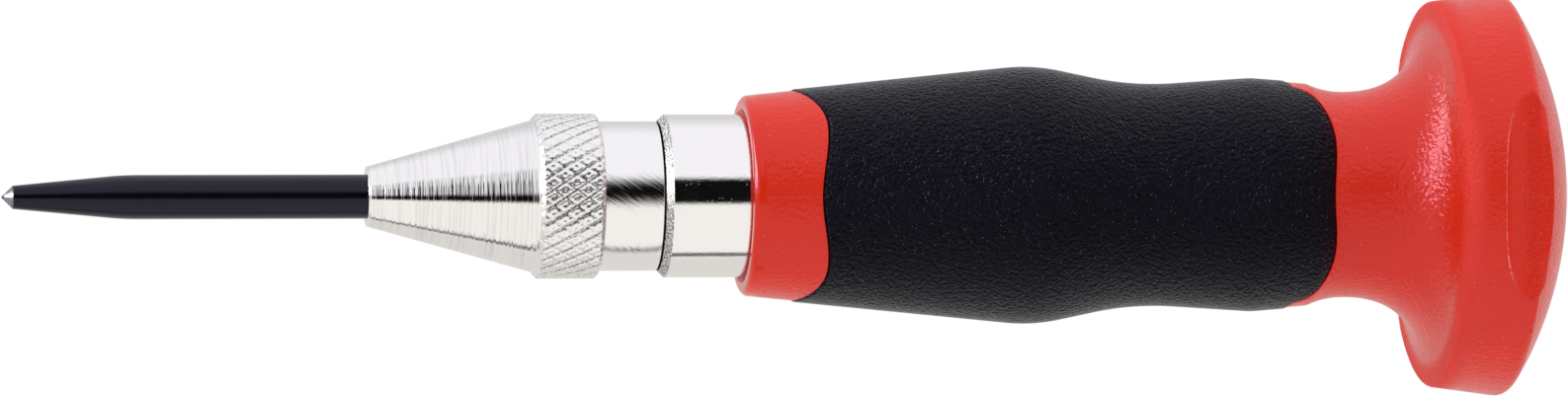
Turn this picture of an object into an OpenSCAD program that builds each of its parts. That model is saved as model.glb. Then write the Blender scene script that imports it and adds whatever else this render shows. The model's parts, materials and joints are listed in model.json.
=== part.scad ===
// Automatic center punch with a two-colour moulded handle.
// The tool's axis runs along X, from the tip of the point at the origin to the domed head.
// All lengths are in millimetres.

/* [Punch point] */
// Diameter of the point's shank
point_d = 4; // [3:0.1:4.8]
// How far the point stands out of the nose
point_reach = 33; // [24:0.1:45]
// Full angle of the ground tip
tip_angle = 90; // [60:5:120]
// Diameter at the back of the ground tip
tip_d = 2.1; // [1.4:0.1:2.6]
// Distance from the tip to the end of the taper
taper_end = 11; // [6:0.1:16]
// Radius that blends the taper into the shank
taper_blend = 30; // [5:1:60]
// Diameter of the point's head, inside the nose
point_head_d = 7.8; // [6.8:0.1:8.4]
// Length of the point's head
point_head_len = 3; // [2:0.1:4]
// Depth of the socket for the drive pin in the point's head
socket_depth = 1; // [0.5:0.1:1.5]
// How far the point is pushed in before the punch fires
stroke = 12; // [8:0.1:13]

/* [Nose] */
// Diameter of the nose at its front face
nose_face_d = 5.4; // [5.2:0.1:7]
// Length of the cone
cone_len = 15.2; // [13.5:0.1:20]
// Diameter at the back of the cone
cone_d = 13.9; // [12.5:0.1:14.1]
// Length of the bore that guides the point
nose_bore_len = 13.2; // [10:0.1:14.5]
// Length of the knurled ring
knurl_len = 5.8; // [3:0.1:9]
// Diameter of the knurled ring
knurl_d = 15; // [14.9:0.1:17]
// Bevel on both edges of the knurled ring
knurl_bevel = 0.3; // [0.2:0.05:0.5]
// Length of the plain neck behind the ring
neck_len = 5.4; // [3:0.1:10]
// Diameter of the plain neck
neck_d = 13.6; // [12.6:0.1:14.2]
// Diameter of the threaded spigot that goes into the barrel
thread_d = 12; // [11.6:0.1:12.4]
// Length of the threaded spigot
spigot_len = 7.5; // [6:0.1:10]
// Thickness of the sealing ring on the spigot
seal_d = 0.9; // [0.6:0.05:1.1]

/* [Barrel] */
// Outside diameter of the barrel
barrel_d = 14.85; // [14.2:0.05:16]
// Length of the barrel
barrel_len = 66.85; // [64:0.05:70]
// Length of the barrel that shows in front of the handle
barrel_show = 7.75; // [4:0.05:10]
// Bevel on the front edge of the barrel
barrel_bevel = 0.65; // [0.3:0.05:0.8]

/* [Mechanism] */
// Length of the bush that guides the drive pin
bush_len = 3.5; // [2.5:0.1:5]
// Diameter of the drive pin
drive_d = 4.4; // [3.6:0.1:5]
// Diameter of the stem at the end of the drive pin
stem_d = 2.6; // [2:0.1:3]
// Diameter of the hammer
hammer_d = 9.5; // [9:0.1:9.8]
// Length of the hammer
hammer_len = 18; // [15:0.1:22]
// Distance from the hammer's front face to the sear
sear_back = 6; // [5:0.1:8]
// Diameter of the sear
sear_d = 4.7; // [4.2:0.1:5.2]
// How far the sear slides to line up its hole
sear_slide = 0.75; // [0.5:0.05:0.9]
// Thickness of the sear below its hole
sear_web = 1.2; // [0.8:0.1:1.5]
// Flange thickness of both spring seats
seat_len = 1; // [0.6:0.1:2]
// Length of the pilot that centres the main spring on each seat
pilot_len = 3; // [1.5:0.1:5]
// Length of the preload screw
screw_len = 4; // [3:0.1:6]
// Width of the slots in the preload screw and the lock ring
slot_w = 1.2; // [0.8:0.1:2]
// Length of the lock ring
lock_len = 2.5; // [1.5:0.1:4]
// Hole through the lock ring
lock_hole_d = 4.8; // [3:0.1:6]

/* [Springs] */
// Wire of the main spring
main_wire = 1.4; // [1:0.1:1.5]
// Turns of the main spring
main_turns = 9; // [6:1:10]
// Wire of the return spring
return_wire = 0.6; // [0.4:0.05:0.7]
// Turns of the return spring
return_turns = 7; // [5:1:8]
// Wire of the sear spring
sear_wire = 0.3; // [0.2:0.05:0.35]
// Turns of the sear spring
sear_turns = 2.5; // [2:0.5:2.5]

/* [Handle] */
// Diameter of the collar at its front edge
collar_d = 18.2; // [18:0.1:20]
// Radius on the collar's front edge
collar_round = 1; // [0.3:0.1:1.2]
// Length of the collar in front of the grip
collar_len = 6.2; // [4.5:0.1:10]
// Gap round the barrel at the mouth of the collar
mouth_gap = 0.45; // [0.2:0.05:0.8]
// Depth of the bevel inside the mouth of the collar
mouth_depth = 0.9; // [0.4:0.1:2.5]
// Wall of the moulded core under the grip
core_wall = 1.55; // [1.2:0.05:1.7]
// Distance from the collar's front to the corner of the belly
belly_at = 26.9; // [24:0.1:30]
// Diameter at the corner of the belly, before rounding
belly_d = 23.62; // [22:0.02:26]
// Radius that rounds the belly
belly_round = 16; // [4:1:30]
// Distance from the collar's front to the corner of the waist
waist_at = 36.2; // [34.5:0.1:40]
// Diameter at the corner of the waist, before rounding
waist_d = 19.76; // [19.4:0.02:21]
// Radius that rounds the waist
waist_round = 28; // [6:1:40]
// Distance from the collar's front to the corner of the rear swell
swell_at = 47.2; // [45:0.1:50]
// Diameter at the corner of the rear swell, before rounding
swell_d = 21.22; // [20.6:0.02:23]
// Radius that rounds the rear swell
swell_round = 8; // [2:1:14]
// Distance from the collar's front to the rear edge of the grip
grip_end_at = 53.1; // [52:0.1:54]
// How far the grip's front edge waves back on each side of its middle
front_wave = 0.8; // [0.2:0.05:1.5]
// Height of the wave's crest on the grip's front edge, from the axis
front_crest = 5.9; // [4:0.1:7]
// How far the grip's front edge runs forward at the top and bottom
front_fall = 3.7; // [1:0.1:4]
// How far the grip's rear edge waves back on each side of its middle
rear_wave = 0.35; // [0.1:0.05:1]
// Height of the wave's crest on the grip's rear edge, from the axis
rear_crest = 4.2; // [3:0.1:6]
// How far the grip's rear edge runs forward at the top and bottom
rear_fall = 3; // [1:0.1:4]
// How far the grip stands above the moulded core
grip_proud = 0.12; // [0.05:0.01:0.3]

/* [Head] */
// Distance from the collar's front to the thinnest place of the neck
waist_neck_at = 55.8; // [55.5:0.1:60]
// Diameter of the neck at its thinnest place
waist_neck_d = 18.9; // [18.6:0.1:20]
// Radius of the hollow flare from the neck to the head
flare_r = 8.2; // [7:0.1:10]
// Diameter of the head at the front edge of its rim
rim_front_d = 35.5; // [33:0.1:36]
// Diameter of the head at the back edge of its rim
rim_back_d = 37.3; // [36:0.1:40]
// Length of the rim
rim_len = 6.5; // [5:0.1:9]
// Radius on the front edge of the rim
rim_front_round = 1.6; // [0.3:0.1:2]
// Radius on the back edge of the rim
rim_back_round = 0.9; // [0.3:0.1:1.5]
// Radius of the domed palm end
dome_r = 33.7; // [26:0.1:50]
// Distance across the two flats of the rim
flats_w = 32; // [29:0.1:33]
// Distance from the rim's front edge to the start of the flats
flat_start = 3.1; // [1.5:0.1:4]
// Radius of the hollow run-out at the start of the flats
flat_runout = 3; // [1:0.1:3.5]

/* [Hidden] */
$fn = 96;

// Clearances
slide_fit = 0.05;
thread_fit = 0.05;
hammer_fit = 0.08;
sear_fit = 0.05;
sear_clear = 0.1;
stem_room = 0.15;
handle_fit = 0.05;
head_room = 0.4;
seat_gap = 0.05;
joint_gap = 0.15;
bush_gap = 0.2;
hammer_gap = 0.8;
stem_gap = 0.1;
spring_room = 0.35;
pilot_room = 0.2;
seam = 0.1;
past = 1;

// Small bevels, steps and depths
edge = 0.3;
drive_lead = 0.8;
sear_floor = 0.75;
stem_bore_len = 6;
slot_depth = 1.5;
groove_len = 1.3;
groove_at = 1;
rear_step = 0.17;

// Angles of the neck's hollow, before its thinnest place and at its end by the rim
neck_rise = 25;
flare_end = 345;

// Shares: how much of an edge a rounding may take, and where the dome's arc starts between the
// rim's edge and the axis
corner_share = 0.48;
dome_share = 0.9;

// Radii
point_r = point_d / 2;
tip_r = tip_d / 2;
head_r = point_head_d / 2;
cavity_r = head_r + head_room;
spigot_r = thread_d / 2;
counter_r = spigot_r + thread_fit;
barrel_r = barrel_d / 2;
drive_r = drive_d / 2;
stem_r = stem_d / 2;
hammer_r = hammer_d / 2;
bore_r = hammer_r + hammer_fit;
cam_r = bore_r + sear_slide;
rear_bore_r = bore_r + rear_step;
screw_r = rear_bore_r - thread_fit;
sear_r = sear_d / 2;
sear_hole_r = stem_r + stem_room;
core_bore_r = barrel_r + handle_fit;
core_r = barrel_r + core_wall;
flat_y = flats_w / 2;

// Places along the axis, from the tip
nose_x = point_reach;
shoulder_x = nose_x + nose_bore_len;
cone_x = nose_x + cone_len;
knurl_x = cone_x + knurl_len;
neck_x = knurl_x + neck_len;
spigot_x = neck_x + spigot_len;
barrel_x = neck_x + joint_gap;
barrel_end = barrel_x + barrel_len;
groove_x = neck_x + groove_at;
head_x = shoulder_x + seat_gap;
head_end = head_x + point_head_len;
bush_x = spigot_x + bush_gap;
bush_end = bush_x + bush_len;
hammer_x = bush_end + hammer_gap;
hammer_end = hammer_x + hammer_len;
sear_x = hammer_x + sear_back;
cam_end = sear_x + stroke;
stem_end = sear_x - sear_r - stem_gap;
main_x = hammer_end + seat_len;
lock_x = barrel_end - lock_len;
screw_x = lock_x - screw_len;
rear_seat_x = screw_x - seat_len;
handle_x = barrel_x + barrel_show;
grip_x = handle_x + collar_len;
grip_end = handle_x + grip_end_at;
neck_mid = handle_x + waist_neck_at;
rim_x = neck_mid + flare_r;
rim_end = rim_x + rim_len;
dome_centre = rim_end - sqrt(dome_r ^ 2 - (rim_back_d / 2) ^ 2);
head_top = dome_centre + dome_r;
flat_x = rim_x + flat_start + flat_runout;

// Heights in the hammer's cross bore, from the axis
sear_top = bore_r - sear_clear + sear_slide;
sear_bottom = sear_slide - sear_hole_r - sear_web;
cross_floor = sear_floor - hammer_r;

// Sizes of the springs
main_r = bore_r - spring_room - main_wire / 2;
pilot_r = main_r - main_wire / 2 - pilot_room;
return_r = (drive_r + cavity_r) / 2;
sear_spring_r = sear_r - spring_room - sear_wire / 2;

// Segments of a rounded corner and of a large arc
corner_steps = 6;
arc_steps = 14;
coil_steps = 8;
wire_sides = 6;

function unit(v) = v / norm(v);

// Points of the arc that rounds the corner b between a and c, kept within the two edges
function corner(a, b, c, radius) =
  let (
    u = unit(a - b),
    w = unit(c - b),
    half = acos(u * w) / 2,
    room = corner_share * min(norm(a - b), norm(c - b)) * tan(half),
    rad = min(radius, room),
    centre = b + unit(u + w) * rad / sin(half),
    from = unit(b + u * rad / tan(half) - centre),
    to = unit(b + w * rad / tan(half) - centre),
    turn = 180 - 2 * half
  )
  [for (i = [0:corner_steps])
    let (t = i / corner_steps)
    centre + rad * (sin((1 - t) * turn) * from + sin(t * turn) * to) / sin(turn)];

// A path of [place, radius] points whose inner corners are rounded
function rounded(points, radii) =
  [for (i = [0:len(points) - 1])
    each (i == 0 || i == len(points) - 1 || radii[i] == 0)
      ? [points[i]]
      : corner(points[i - 1], points[i], points[i + 1], radii[i])];

// Points of an arc about a centre at [place, radius], by angles from the axis
function arc(centre, radius, from, to) =
  [for (i = [0:arc_steps])
    let (a = from + (to - from) * i / arc_steps)
    centre + radius * [cos(a), sin(a)]];

// Centre line of a coil along X, and its wire as rings of points
function coil_at(a, x, radius, rise) = [x + rise * a / 360, radius * cos(a), radius * sin(a)];
function coil_ring(a, x, radius, rise, wire) =
  let (
    out = [0, cos(a), sin(a)],
    lean = atan(rise / (360 * radius * PI / 180)),
    along = [cos(lean), sin(lean) * sin(a), -sin(lean) * cos(a)]
  )
  [for (k = [0:wire_sides - 1])
    let (b = 360 * k / wire_sides)
    coil_at(a, x, radius, rise) + wire / 2 * (cos(b) * out + sin(b) * along)];

// Least gap between two neighbouring turns of a coil, measured on its points
function coil_gap(length, wire, turns, radius) =
  let (
    rise = (length - wire) / turns,
    line = [for (i = [0:turns * coil_steps]) coil_at(360 * i / coil_steps, 0, radius, rise)]
  )
  min([for (i = [0:len(line) - 1]) for (j = [i + coil_steps / 2:len(line) - 1])
    norm(line[i] - line[j])]) - wire;

// Outline of the hollow from behind the grip to the head
neck_centre = [neck_mid, waist_neck_d / 2 + flare_r];
neck_line = arc(neck_centre, flare_r, 270 - neck_rise, flare_end);

// Outline of the handle from the collar's front edge to the neck
handle_line = rounded(
  [
    [handle_x, core_bore_r + mouth_gap],
    [handle_x, collar_d / 2],
    [handle_x + belly_at, belly_d / 2],
    [handle_x + waist_at, waist_d / 2],
    [handle_x + swell_at, swell_d / 2],
    neck_line[0]
  ],
  [0, collar_round, belly_round, waist_round, swell_round, 0]
);

// Outline of the soft grip, which stands a little above the handle
grip_line = [
  for (p = concat(handle_line, neck_line))
    if (p[1] > core_r && p[0] < neck_mid) p + [0, grip_proud]
];

// Upper half of a grip edge as [place, height]: it waves back to a crest, then runs forward
function half_edge(x, wave, crest, fall) =
  let (top = waist_d / 2)
  concat(
    [for (i = [0:corner_steps])
      let (t = i / corner_steps)
      [x + wave * (1 - cos(180 * t)) / 2, crest * t]],
    [for (i = [1:corner_steps])
      let (a = 90 * i / corner_steps)
      [x + wave - fall * (1 - cos(a)), crest + (top - crest) * sin(a)]],
    [[x + wave - fall, belly_d]]
  );

// A whole grip edge from bottom to top
function edge_line(x, wave, crest, fall) =
  let (half = half_edge(x, wave, crest, fall))
  concat([for (i = [len(half) - 1:-1:1]) [half[i][0], -half[i][1]]], half);

// Outline of the head's rim and of its dome
dome_edge = dome_share * asin(rim_back_d / 2 / dome_r);
dome_line = arc([dome_centre, 0], dome_r, dome_edge, 0);
rim_line = rounded(
  [neck_line[arc_steps], [rim_x, rim_front_d / 2], [rim_end, rim_back_d / 2], dome_line[0]],
  [0, rim_front_round, rim_back_round, 0]
);

// A solid turned about the X axis from [place, radius] points
module turned(profile) {
  rotate([0, 90, 0])
    rotate_extrude()
      polygon([for (p = profile) [p[1], p[0]]]);
}

// A round bar or hole along X
module round_bar(from, to, radius) {
  translate([from, 0, 0])
    rotate([0, 90, 0])
      cylinder(r = radius, h = to - from);
}

// A coil spring along X as one unbroken wire
module coil(x, length, radius, wire, turns) {
  count = turns * coil_steps;
  rise = (length - wire) / turns;
  points = [for (i = [0:count]) each coil_ring(360 * i / coil_steps, x + wire / 2, radius, rise, wire)];
  sides = [for (i = [0:count - 1]) for (k = [0:wire_sides - 1])
    let (
      a = i * wire_sides + k,
      b = i * wire_sides + (k + 1) % wire_sides
    )
    each [[a, b, b + wire_sides], [a, b + wire_sides, a + wire_sides]]];
  last = count * wire_sides;
  caps = [for (k = [1:wire_sides - 2])
    each [[0, k + 1, k], [last, last + k, last + k + 1]]];
  polyhedron(points = points, faces = concat(sides, caps));
}

// A flanged seat with a pilot that points into the spring
module spring_seat(face, toward) {
  round_bar(min(face, face - toward * seat_len), max(face, face - toward * seat_len), hammer_r - slide_fit);
  round_bar(min(face, face + toward * pilot_len), max(face, face + toward * pilot_len), pilot_r);
}

// The zone along the handle that the soft grip fills, longer by extra at both ends
module grip_zone(extra) {
  front = edge_line(grip_x - extra, front_wave, front_crest, front_fall);
  rear = edge_line(grip_end + extra, rear_wave, rear_crest, rear_fall);
  rotate([90, 0, 0])
    linear_extrude(height = 2 * belly_d, center = true)
      polygon(concat(front, [for (i = [len(rear) - 1:-1:0]) rear[i]]));
}

// The two flats on the rim, with their hollow run-outs
module rim_flats() {
  for (side = [-1, 1])
    translate([flat_x, side * flat_y, 0])
      mirror([0, side < 0 ? 1 : 0, 0]) {
        translate([0, 0, -rim_back_d / 2])
          cube([head_top, rim_back_d, rim_back_d]);
        translate([0, flat_runout, -rim_back_d / 2])
          cylinder(r = flat_runout, h = rim_back_d);
      }
}

module punch_point() {
  color("#2a2c2f")
    difference() {
      turned(concat(
        [[0, 0]],
        rounded(
          [
            [tip_r / tan(tip_angle / 2), tip_r],
            [taper_end, point_r],
            [head_x, point_r]
          ],
          [0, taper_blend, 0]
        ),
        [
          [head_x, head_r - edge],
          [head_x + edge, head_r],
          [head_end - edge, head_r],
          [head_end, head_r - edge],
          [head_end, 0]
        ]
      ));
      round_bar(head_end - socket_depth, head_end + past, drive_r + slide_fit);
    }
}

module nose_cone() {
  ring_r = knurl_d / 2;
  groove_r = spigot_r - seal_d;
  color("#c9cbcd")
    turned([
      [nose_x, point_r + slide_fit],
      [nose_x, nose_face_d / 2],
      [cone_x, cone_d / 2],
      [cone_x, ring_r - knurl_bevel],
      [cone_x + knurl_bevel, ring_r],
      [knurl_x - knurl_bevel, ring_r],
      [knurl_x, ring_r - knurl_bevel],
      [knurl_x, neck_d / 2],
      [neck_x, neck_d / 2],
      [neck_x, spigot_r],
      [groove_x, spigot_r],
      [groove_x, groove_r],
      [groove_x + groove_len, groove_r],
      [groove_x + groove_len, spigot_r],
      [spigot_x - edge, spigot_r],
      [spigot_x, spigot_r - edge],
      [spigot_x, cavity_r],
      [shoulder_x, cavity_r],
      [shoulder_x, point_r + slide_fit]
    ]);
}

module nose_o_ring() {
  color("#1b1b1d")
    translate([groove_x + groove_len / 2, 0, 0])
      rotate([0, 90, 0])
        rotate_extrude()
          translate([spigot_r - seal_d / 2, 0])
            circle(d = seal_d);
}

module barrel() {
  color("#d8d6cf")
    turned([
      [barrel_x, counter_r],
      [barrel_x, barrel_r - barrel_bevel],
      [barrel_x + barrel_bevel, barrel_r],
      [barrel_end - edge, barrel_r],
      [barrel_end, barrel_r - edge],
      [barrel_end, rear_bore_r],
      [screw_x, rear_bore_r],
      [screw_x, bore_r],
      [cam_end, bore_r],
      [sear_x, cam_r],
      [bush_end, cam_r],
      [bush_end, counter_r]
    ]);
}

module guide_bush() {
  color("#b08d4f")
    difference() {
      round_bar(bush_x, bush_end, spigot_r);
      round_bar(bush_x - past, bush_end + past, drive_r + slide_fit);
    }
}

module return_spring() {
  color("#9aa0a6")
    coil(head_end, bush_x - head_end, return_r, return_wire, return_turns);
}

module drive_pin() {
  pin_end = bush_x + drive_lead;
  color("#8b9096")
    turned([
      [head_end - socket_depth, 0],
      [head_end - socket_depth, drive_r - edge],
      [head_end - socket_depth + edge, drive_r],
      [pin_end - edge, drive_r],
      [pin_end, drive_r - edge],
      [pin_end, stem_r],
      [stem_end, stem_r],
      [stem_end, 0]
    ]);
}

module hammer() {
  bore_end = sear_x + sear_r + stem_bore_len;
  color("#70757b")
    difference() {
      turned([
        [hammer_x, 0],
        [hammer_x, hammer_r - edge],
        [hammer_x + edge, hammer_r],
        [hammer_end - edge, hammer_r],
        [hammer_end, hammer_r - edge],
        [hammer_end, 0]
      ]);
      round_bar(hammer_x - past, bore_end, sear_hole_r);
      translate([sear_x, 0, cross_floor])
        cylinder(r = sear_r + sear_fit, h = hammer_d);
    }
}

module sear() {
  color("#b9bdc2")
    difference() {
      intersection() {
        translate([sear_x, 0, sear_bottom])
          cylinder(r = sear_r, h = hammer_d);
        translate([sear_x, 0, sear_top - bore_r])
          sphere(r = bore_r);
      }
      translate([0, 0, sear_slide])
        round_bar(sear_x - sear_d, sear_x + sear_d, sear_hole_r);
    }
}

module sear_spring() {
  color("#9aa0a6")
    translate([sear_x, 0, cross_floor])
      rotate([0, -90, 0])
        coil(0, sear_bottom - cross_floor, sear_spring_r, sear_wire, sear_turns);
}

module front_spring_seat() {
  color("#8b9096")
    spring_seat(main_x, 1);
}

module main_spring() {
  color("#9aa0a6")
    coil(main_x, rear_seat_x - main_x, main_r, main_wire, main_turns);
}

module rear_spring_seat() {
  color("#8b9096")
    spring_seat(rear_seat_x, -1);
}

module preload_screw() {
  color("#8b9096")
    difference() {
      round_bar(screw_x, lock_x, screw_r);
      translate([lock_x - slot_depth, -slot_w / 2, -hammer_d])
        cube([slot_depth + past, slot_w, 2 * hammer_d]);
    }
}

module lock_ring() {
  color("#70757b")
    difference() {
      round_bar(lock_x, barrel_end, screw_r);
      round_bar(lock_x - past, barrel_end + past, lock_hole_d / 2);
      translate([barrel_end - slot_depth, -slot_w / 2, -hammer_d])
        cube([slot_depth + past, slot_w, 2 * hammer_d]);
    }
}

module handle_core() {
  color("#d02f1c")
    difference() {
      turned(concat(
        [[handle_x, 0]],
        handle_line,
        [for (i = [1:arc_steps]) neck_line[i]],
        [for (i = [1:len(rim_line) - 2]) rim_line[i]],
        dome_line
      ));
      round_bar(handle_x - past, barrel_end, core_bore_r);
      turned([
        [handle_x - past, 0],
        [handle_x - past, core_bore_r + mouth_gap],
        [handle_x, core_bore_r + mouth_gap],
        [handle_x + mouth_depth, core_bore_r],
        [handle_x + mouth_depth, 0]
      ]);
      intersection() {
        difference() {
          round_bar(handle_x, neck_mid, belly_d);
          round_bar(handle_x - past, neck_mid + past, core_r);
        }
        grip_zone(seam);
      }
      rim_flats();
    }
}

module grip_sleeve() {
  color("#17181a")
    intersection() {
      turned(concat(
        [[grip_line[0][0], core_r]],
        grip_line,
        [[grip_line[len(grip_line) - 1][0], core_r]]
      ));
      grip_zone(0);
    }
}

echo(main_spring_gap = coil_gap(rear_seat_x - main_x, main_wire, main_turns, main_r));
echo(return_spring_gap = coil_gap(bush_x - head_end, return_wire, return_turns, return_r));
echo(sear_spring_gap = coil_gap(sear_bottom - cross_floor, sear_wire, sear_turns, sear_spring_r));

punch_point();
nose_cone();
nose_o_ring();
barrel();
guide_bush();
return_spring();
drive_pin();
hammer();
sear();
sear_spring();
front_spring_seat();
main_spring();
rear_spring_seat();
preload_screw();
lock_ring();
handle_core();
grip_sleeve();
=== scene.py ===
"""Automatic center punch: fine forms, finishes and a small studio round the packed parts.

The tool's axis runs along X, from the tip of the point at the origin to the domed head. Lengths are
in metres. A path is a list of (place along the axis, radius) points, in the order in which a turning
tool would follow the outside from front to back.
"""
import json
import math

import bpy
import numpy as np
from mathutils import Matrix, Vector


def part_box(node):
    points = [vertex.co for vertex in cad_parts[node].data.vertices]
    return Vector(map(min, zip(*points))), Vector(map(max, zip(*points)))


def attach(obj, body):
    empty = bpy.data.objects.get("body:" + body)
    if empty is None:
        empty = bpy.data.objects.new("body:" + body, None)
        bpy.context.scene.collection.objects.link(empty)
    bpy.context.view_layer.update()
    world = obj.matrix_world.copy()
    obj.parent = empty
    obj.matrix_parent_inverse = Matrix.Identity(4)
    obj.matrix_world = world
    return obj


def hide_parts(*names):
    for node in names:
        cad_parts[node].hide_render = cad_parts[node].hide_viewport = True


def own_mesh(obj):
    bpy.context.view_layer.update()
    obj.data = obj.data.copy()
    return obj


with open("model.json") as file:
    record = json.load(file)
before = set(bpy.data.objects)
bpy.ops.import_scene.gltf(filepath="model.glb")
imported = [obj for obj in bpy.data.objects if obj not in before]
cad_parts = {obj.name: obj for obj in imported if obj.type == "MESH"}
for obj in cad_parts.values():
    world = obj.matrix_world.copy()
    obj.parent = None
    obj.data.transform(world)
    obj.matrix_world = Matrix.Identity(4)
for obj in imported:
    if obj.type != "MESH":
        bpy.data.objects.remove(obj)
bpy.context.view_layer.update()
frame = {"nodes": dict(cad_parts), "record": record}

bl_info = {
    "name": "Automatic Center Punch",
    "version": (1, 0, 0),
    "blender": (4, 5, 0),
    "location": "View3D > Sidebar > Punch",
    "description": "Builds the surfaces, finishes and studio of an automatic center punch",
    "category": "Add Mesh",
}

MM = 0.001
TURN = 2 * math.pi
# Largest share of an edge that a rounded corner may take
EDGE_SHARE = 0.48
SLOTS = {part["node"]: part["material_slot"] for part in frame["record"]["subparts"]}
BODIES = {
    node: body for body, nodes in frame["record"]["behaviour"]["bodies"].items() for node in nodes
}
MOUNTS = {mount["name"]: mount for mount in frame["record"]["mounts"]}


def span(node):
    """First place, last place and largest height of a packed node, along the axis."""
    low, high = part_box(node)
    return low.x, high.x, high.z


POINT_X, POINT_END, POINT_HEAD_R = span("punch_point")
NOSE_X, SPIGOT_END, KNURL_R = span("nose_cone")
SEAL_X, SEAL_END, SEAL_R = span("nose_o_ring")
BARREL_X, BARREL_END, BARREL_R = span("barrel")
HANDLE_X, HEAD_END, _ = span("handle_core")
BUSH_END = span("guide_bush")[1]
SCREW_X, _, SCREW_R = span("preload_screw")
SEAR_X = (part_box("sear")[0].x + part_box("sear")[1].x) / 2
FLAT_Y = MOUNTS["head_flat_back"]["pos_m"][1]


# Properties that a user would change

def length(name, text, millimetres):
    """A length property, with its default in millimetres."""
    return bpy.props.FloatProperty(
        name=name, description=text, default=millimetres * MM, unit="LENGTH", subtype="DISTANCE", precision=5
    )


def number(name, text, value):
    """A plain number property."""
    return bpy.props.FloatProperty(name=name, description=text, default=value, precision=3)


def angle(name, text, degrees):
    """An angle property, with its default in degrees."""
    return bpy.props.FloatProperty(
        name=name, description=text, default=math.radians(degrees), unit="ROTATION", subtype="ANGLE"
    )


def colour(name, text, rgb):
    """A colour property, in linear light."""
    return bpy.props.FloatVectorProperty(
        name=name, description=text, default=(*rgb, 1.0), size=4, min=0.0, max=1.0, subtype="COLOR"
    )


class PointSizes(bpy.types.PropertyGroup):
    """Sizes of the black point."""

    shank_d: length("Shank diameter", "Diameter of the point's shank", 4)
    tip_d: length("Tip diameter", "Diameter at the back of the ground tip", 2.1)
    tip_len: length("Tip length", "Length of the ground tip", 1.05)
    taper_end: length("Taper end", "Distance from the tip to the end of the taper", 11)
    taper_blend: length("Taper blend", "Radius that blends the taper into the shank", 30)
    head_len: length("Head length", "Length of the head inside the nose", 3)
    head_bevel: length("Head bevel", "Bevel on both edges of the head", 0.3)
    socket_d: length("Socket diameter", "Hole for the drive pin in the head", 4.5)
    socket_depth: length("Socket depth", "Depth of the hole for the drive pin", 1)


class NoseSizes(bpy.types.PropertyGroup):
    """Sizes of the turned nose."""

    face_d: length("Face diameter", "Diameter at the front face", 5.4)
    bore_d: length("Bore diameter", "Hole that guides the point", 4.1)
    bore_len: length("Bore length", "Length of the hole that guides the point", 13.2)
    cavity_d: length("Cavity diameter", "Hollow for the point's head and the return spring", 8.6)
    cone_len: length("Cone length", "Length of the cone", 15.2)
    cone_d: length("Cone diameter", "Diameter at the back of the cone", 13.9)
    knurl_len: length("Knurl length", "Length of the knurled ring", 5.8)
    knurl_bevel: length("Knurl bevel", "Bevel on both edges of the knurled ring", 0.3)
    knurl_depth: length("Knurl depth", "Depth of the knurl's grooves", 0.17)
    knurl_rise: length("Knurl rise", "Length of one diamond along the axis", 2.1)
    knurl_starts: bpy.props.IntProperty(
        name="Knurl starts", description="Diamonds round the ring", default=34
    )
    neck_len: length("Neck length", "Length of the plain neck", 5.4)
    neck_d: length("Neck diameter", "Diameter of the plain neck", 13.6)
    thread_d: length("Thread diameter", "Diameter of the threaded spigot", 12)
    thread_pitch: length("Thread pitch", "Advance of the thread in one turn", 1)
    thread_depth: length("Thread depth", "Depth of the thread", 0.5)
    groove_at: length("Groove place", "Distance from the neck to the seal's groove", 1)
    groove_len: length("Groove length", "Length of the seal's groove", 1.3)
    groove_depth: length("Groove depth", "Depth of the seal's groove", 0.9)
    edge_round: length("Edge round", "Radius of the polished edges", 0.06)


class BarrelSizes(bpy.types.PropertyGroup):
    """Sizes of the plated barrel."""

    bevel: length("Bevel", "Bevel on the front edge", 0.65)
    rear_bevel: length("Rear bevel", "Bevel on the rear edge", 0.3)
    counter_d: length("Counterbore", "Diameter of the threaded front bore", 12.1)
    cam_d: length("Cam bore", "Diameter of the bore in front of the taper", 11.16)
    bore_d: length("Bore", "Diameter of the hammer's bore", 9.66)
    stroke: length("Stroke", "Length of the tapered bore that trips the sear", 12)
    edge_round: length("Edge round", "Radius of the polished edges", 0.06)


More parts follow.
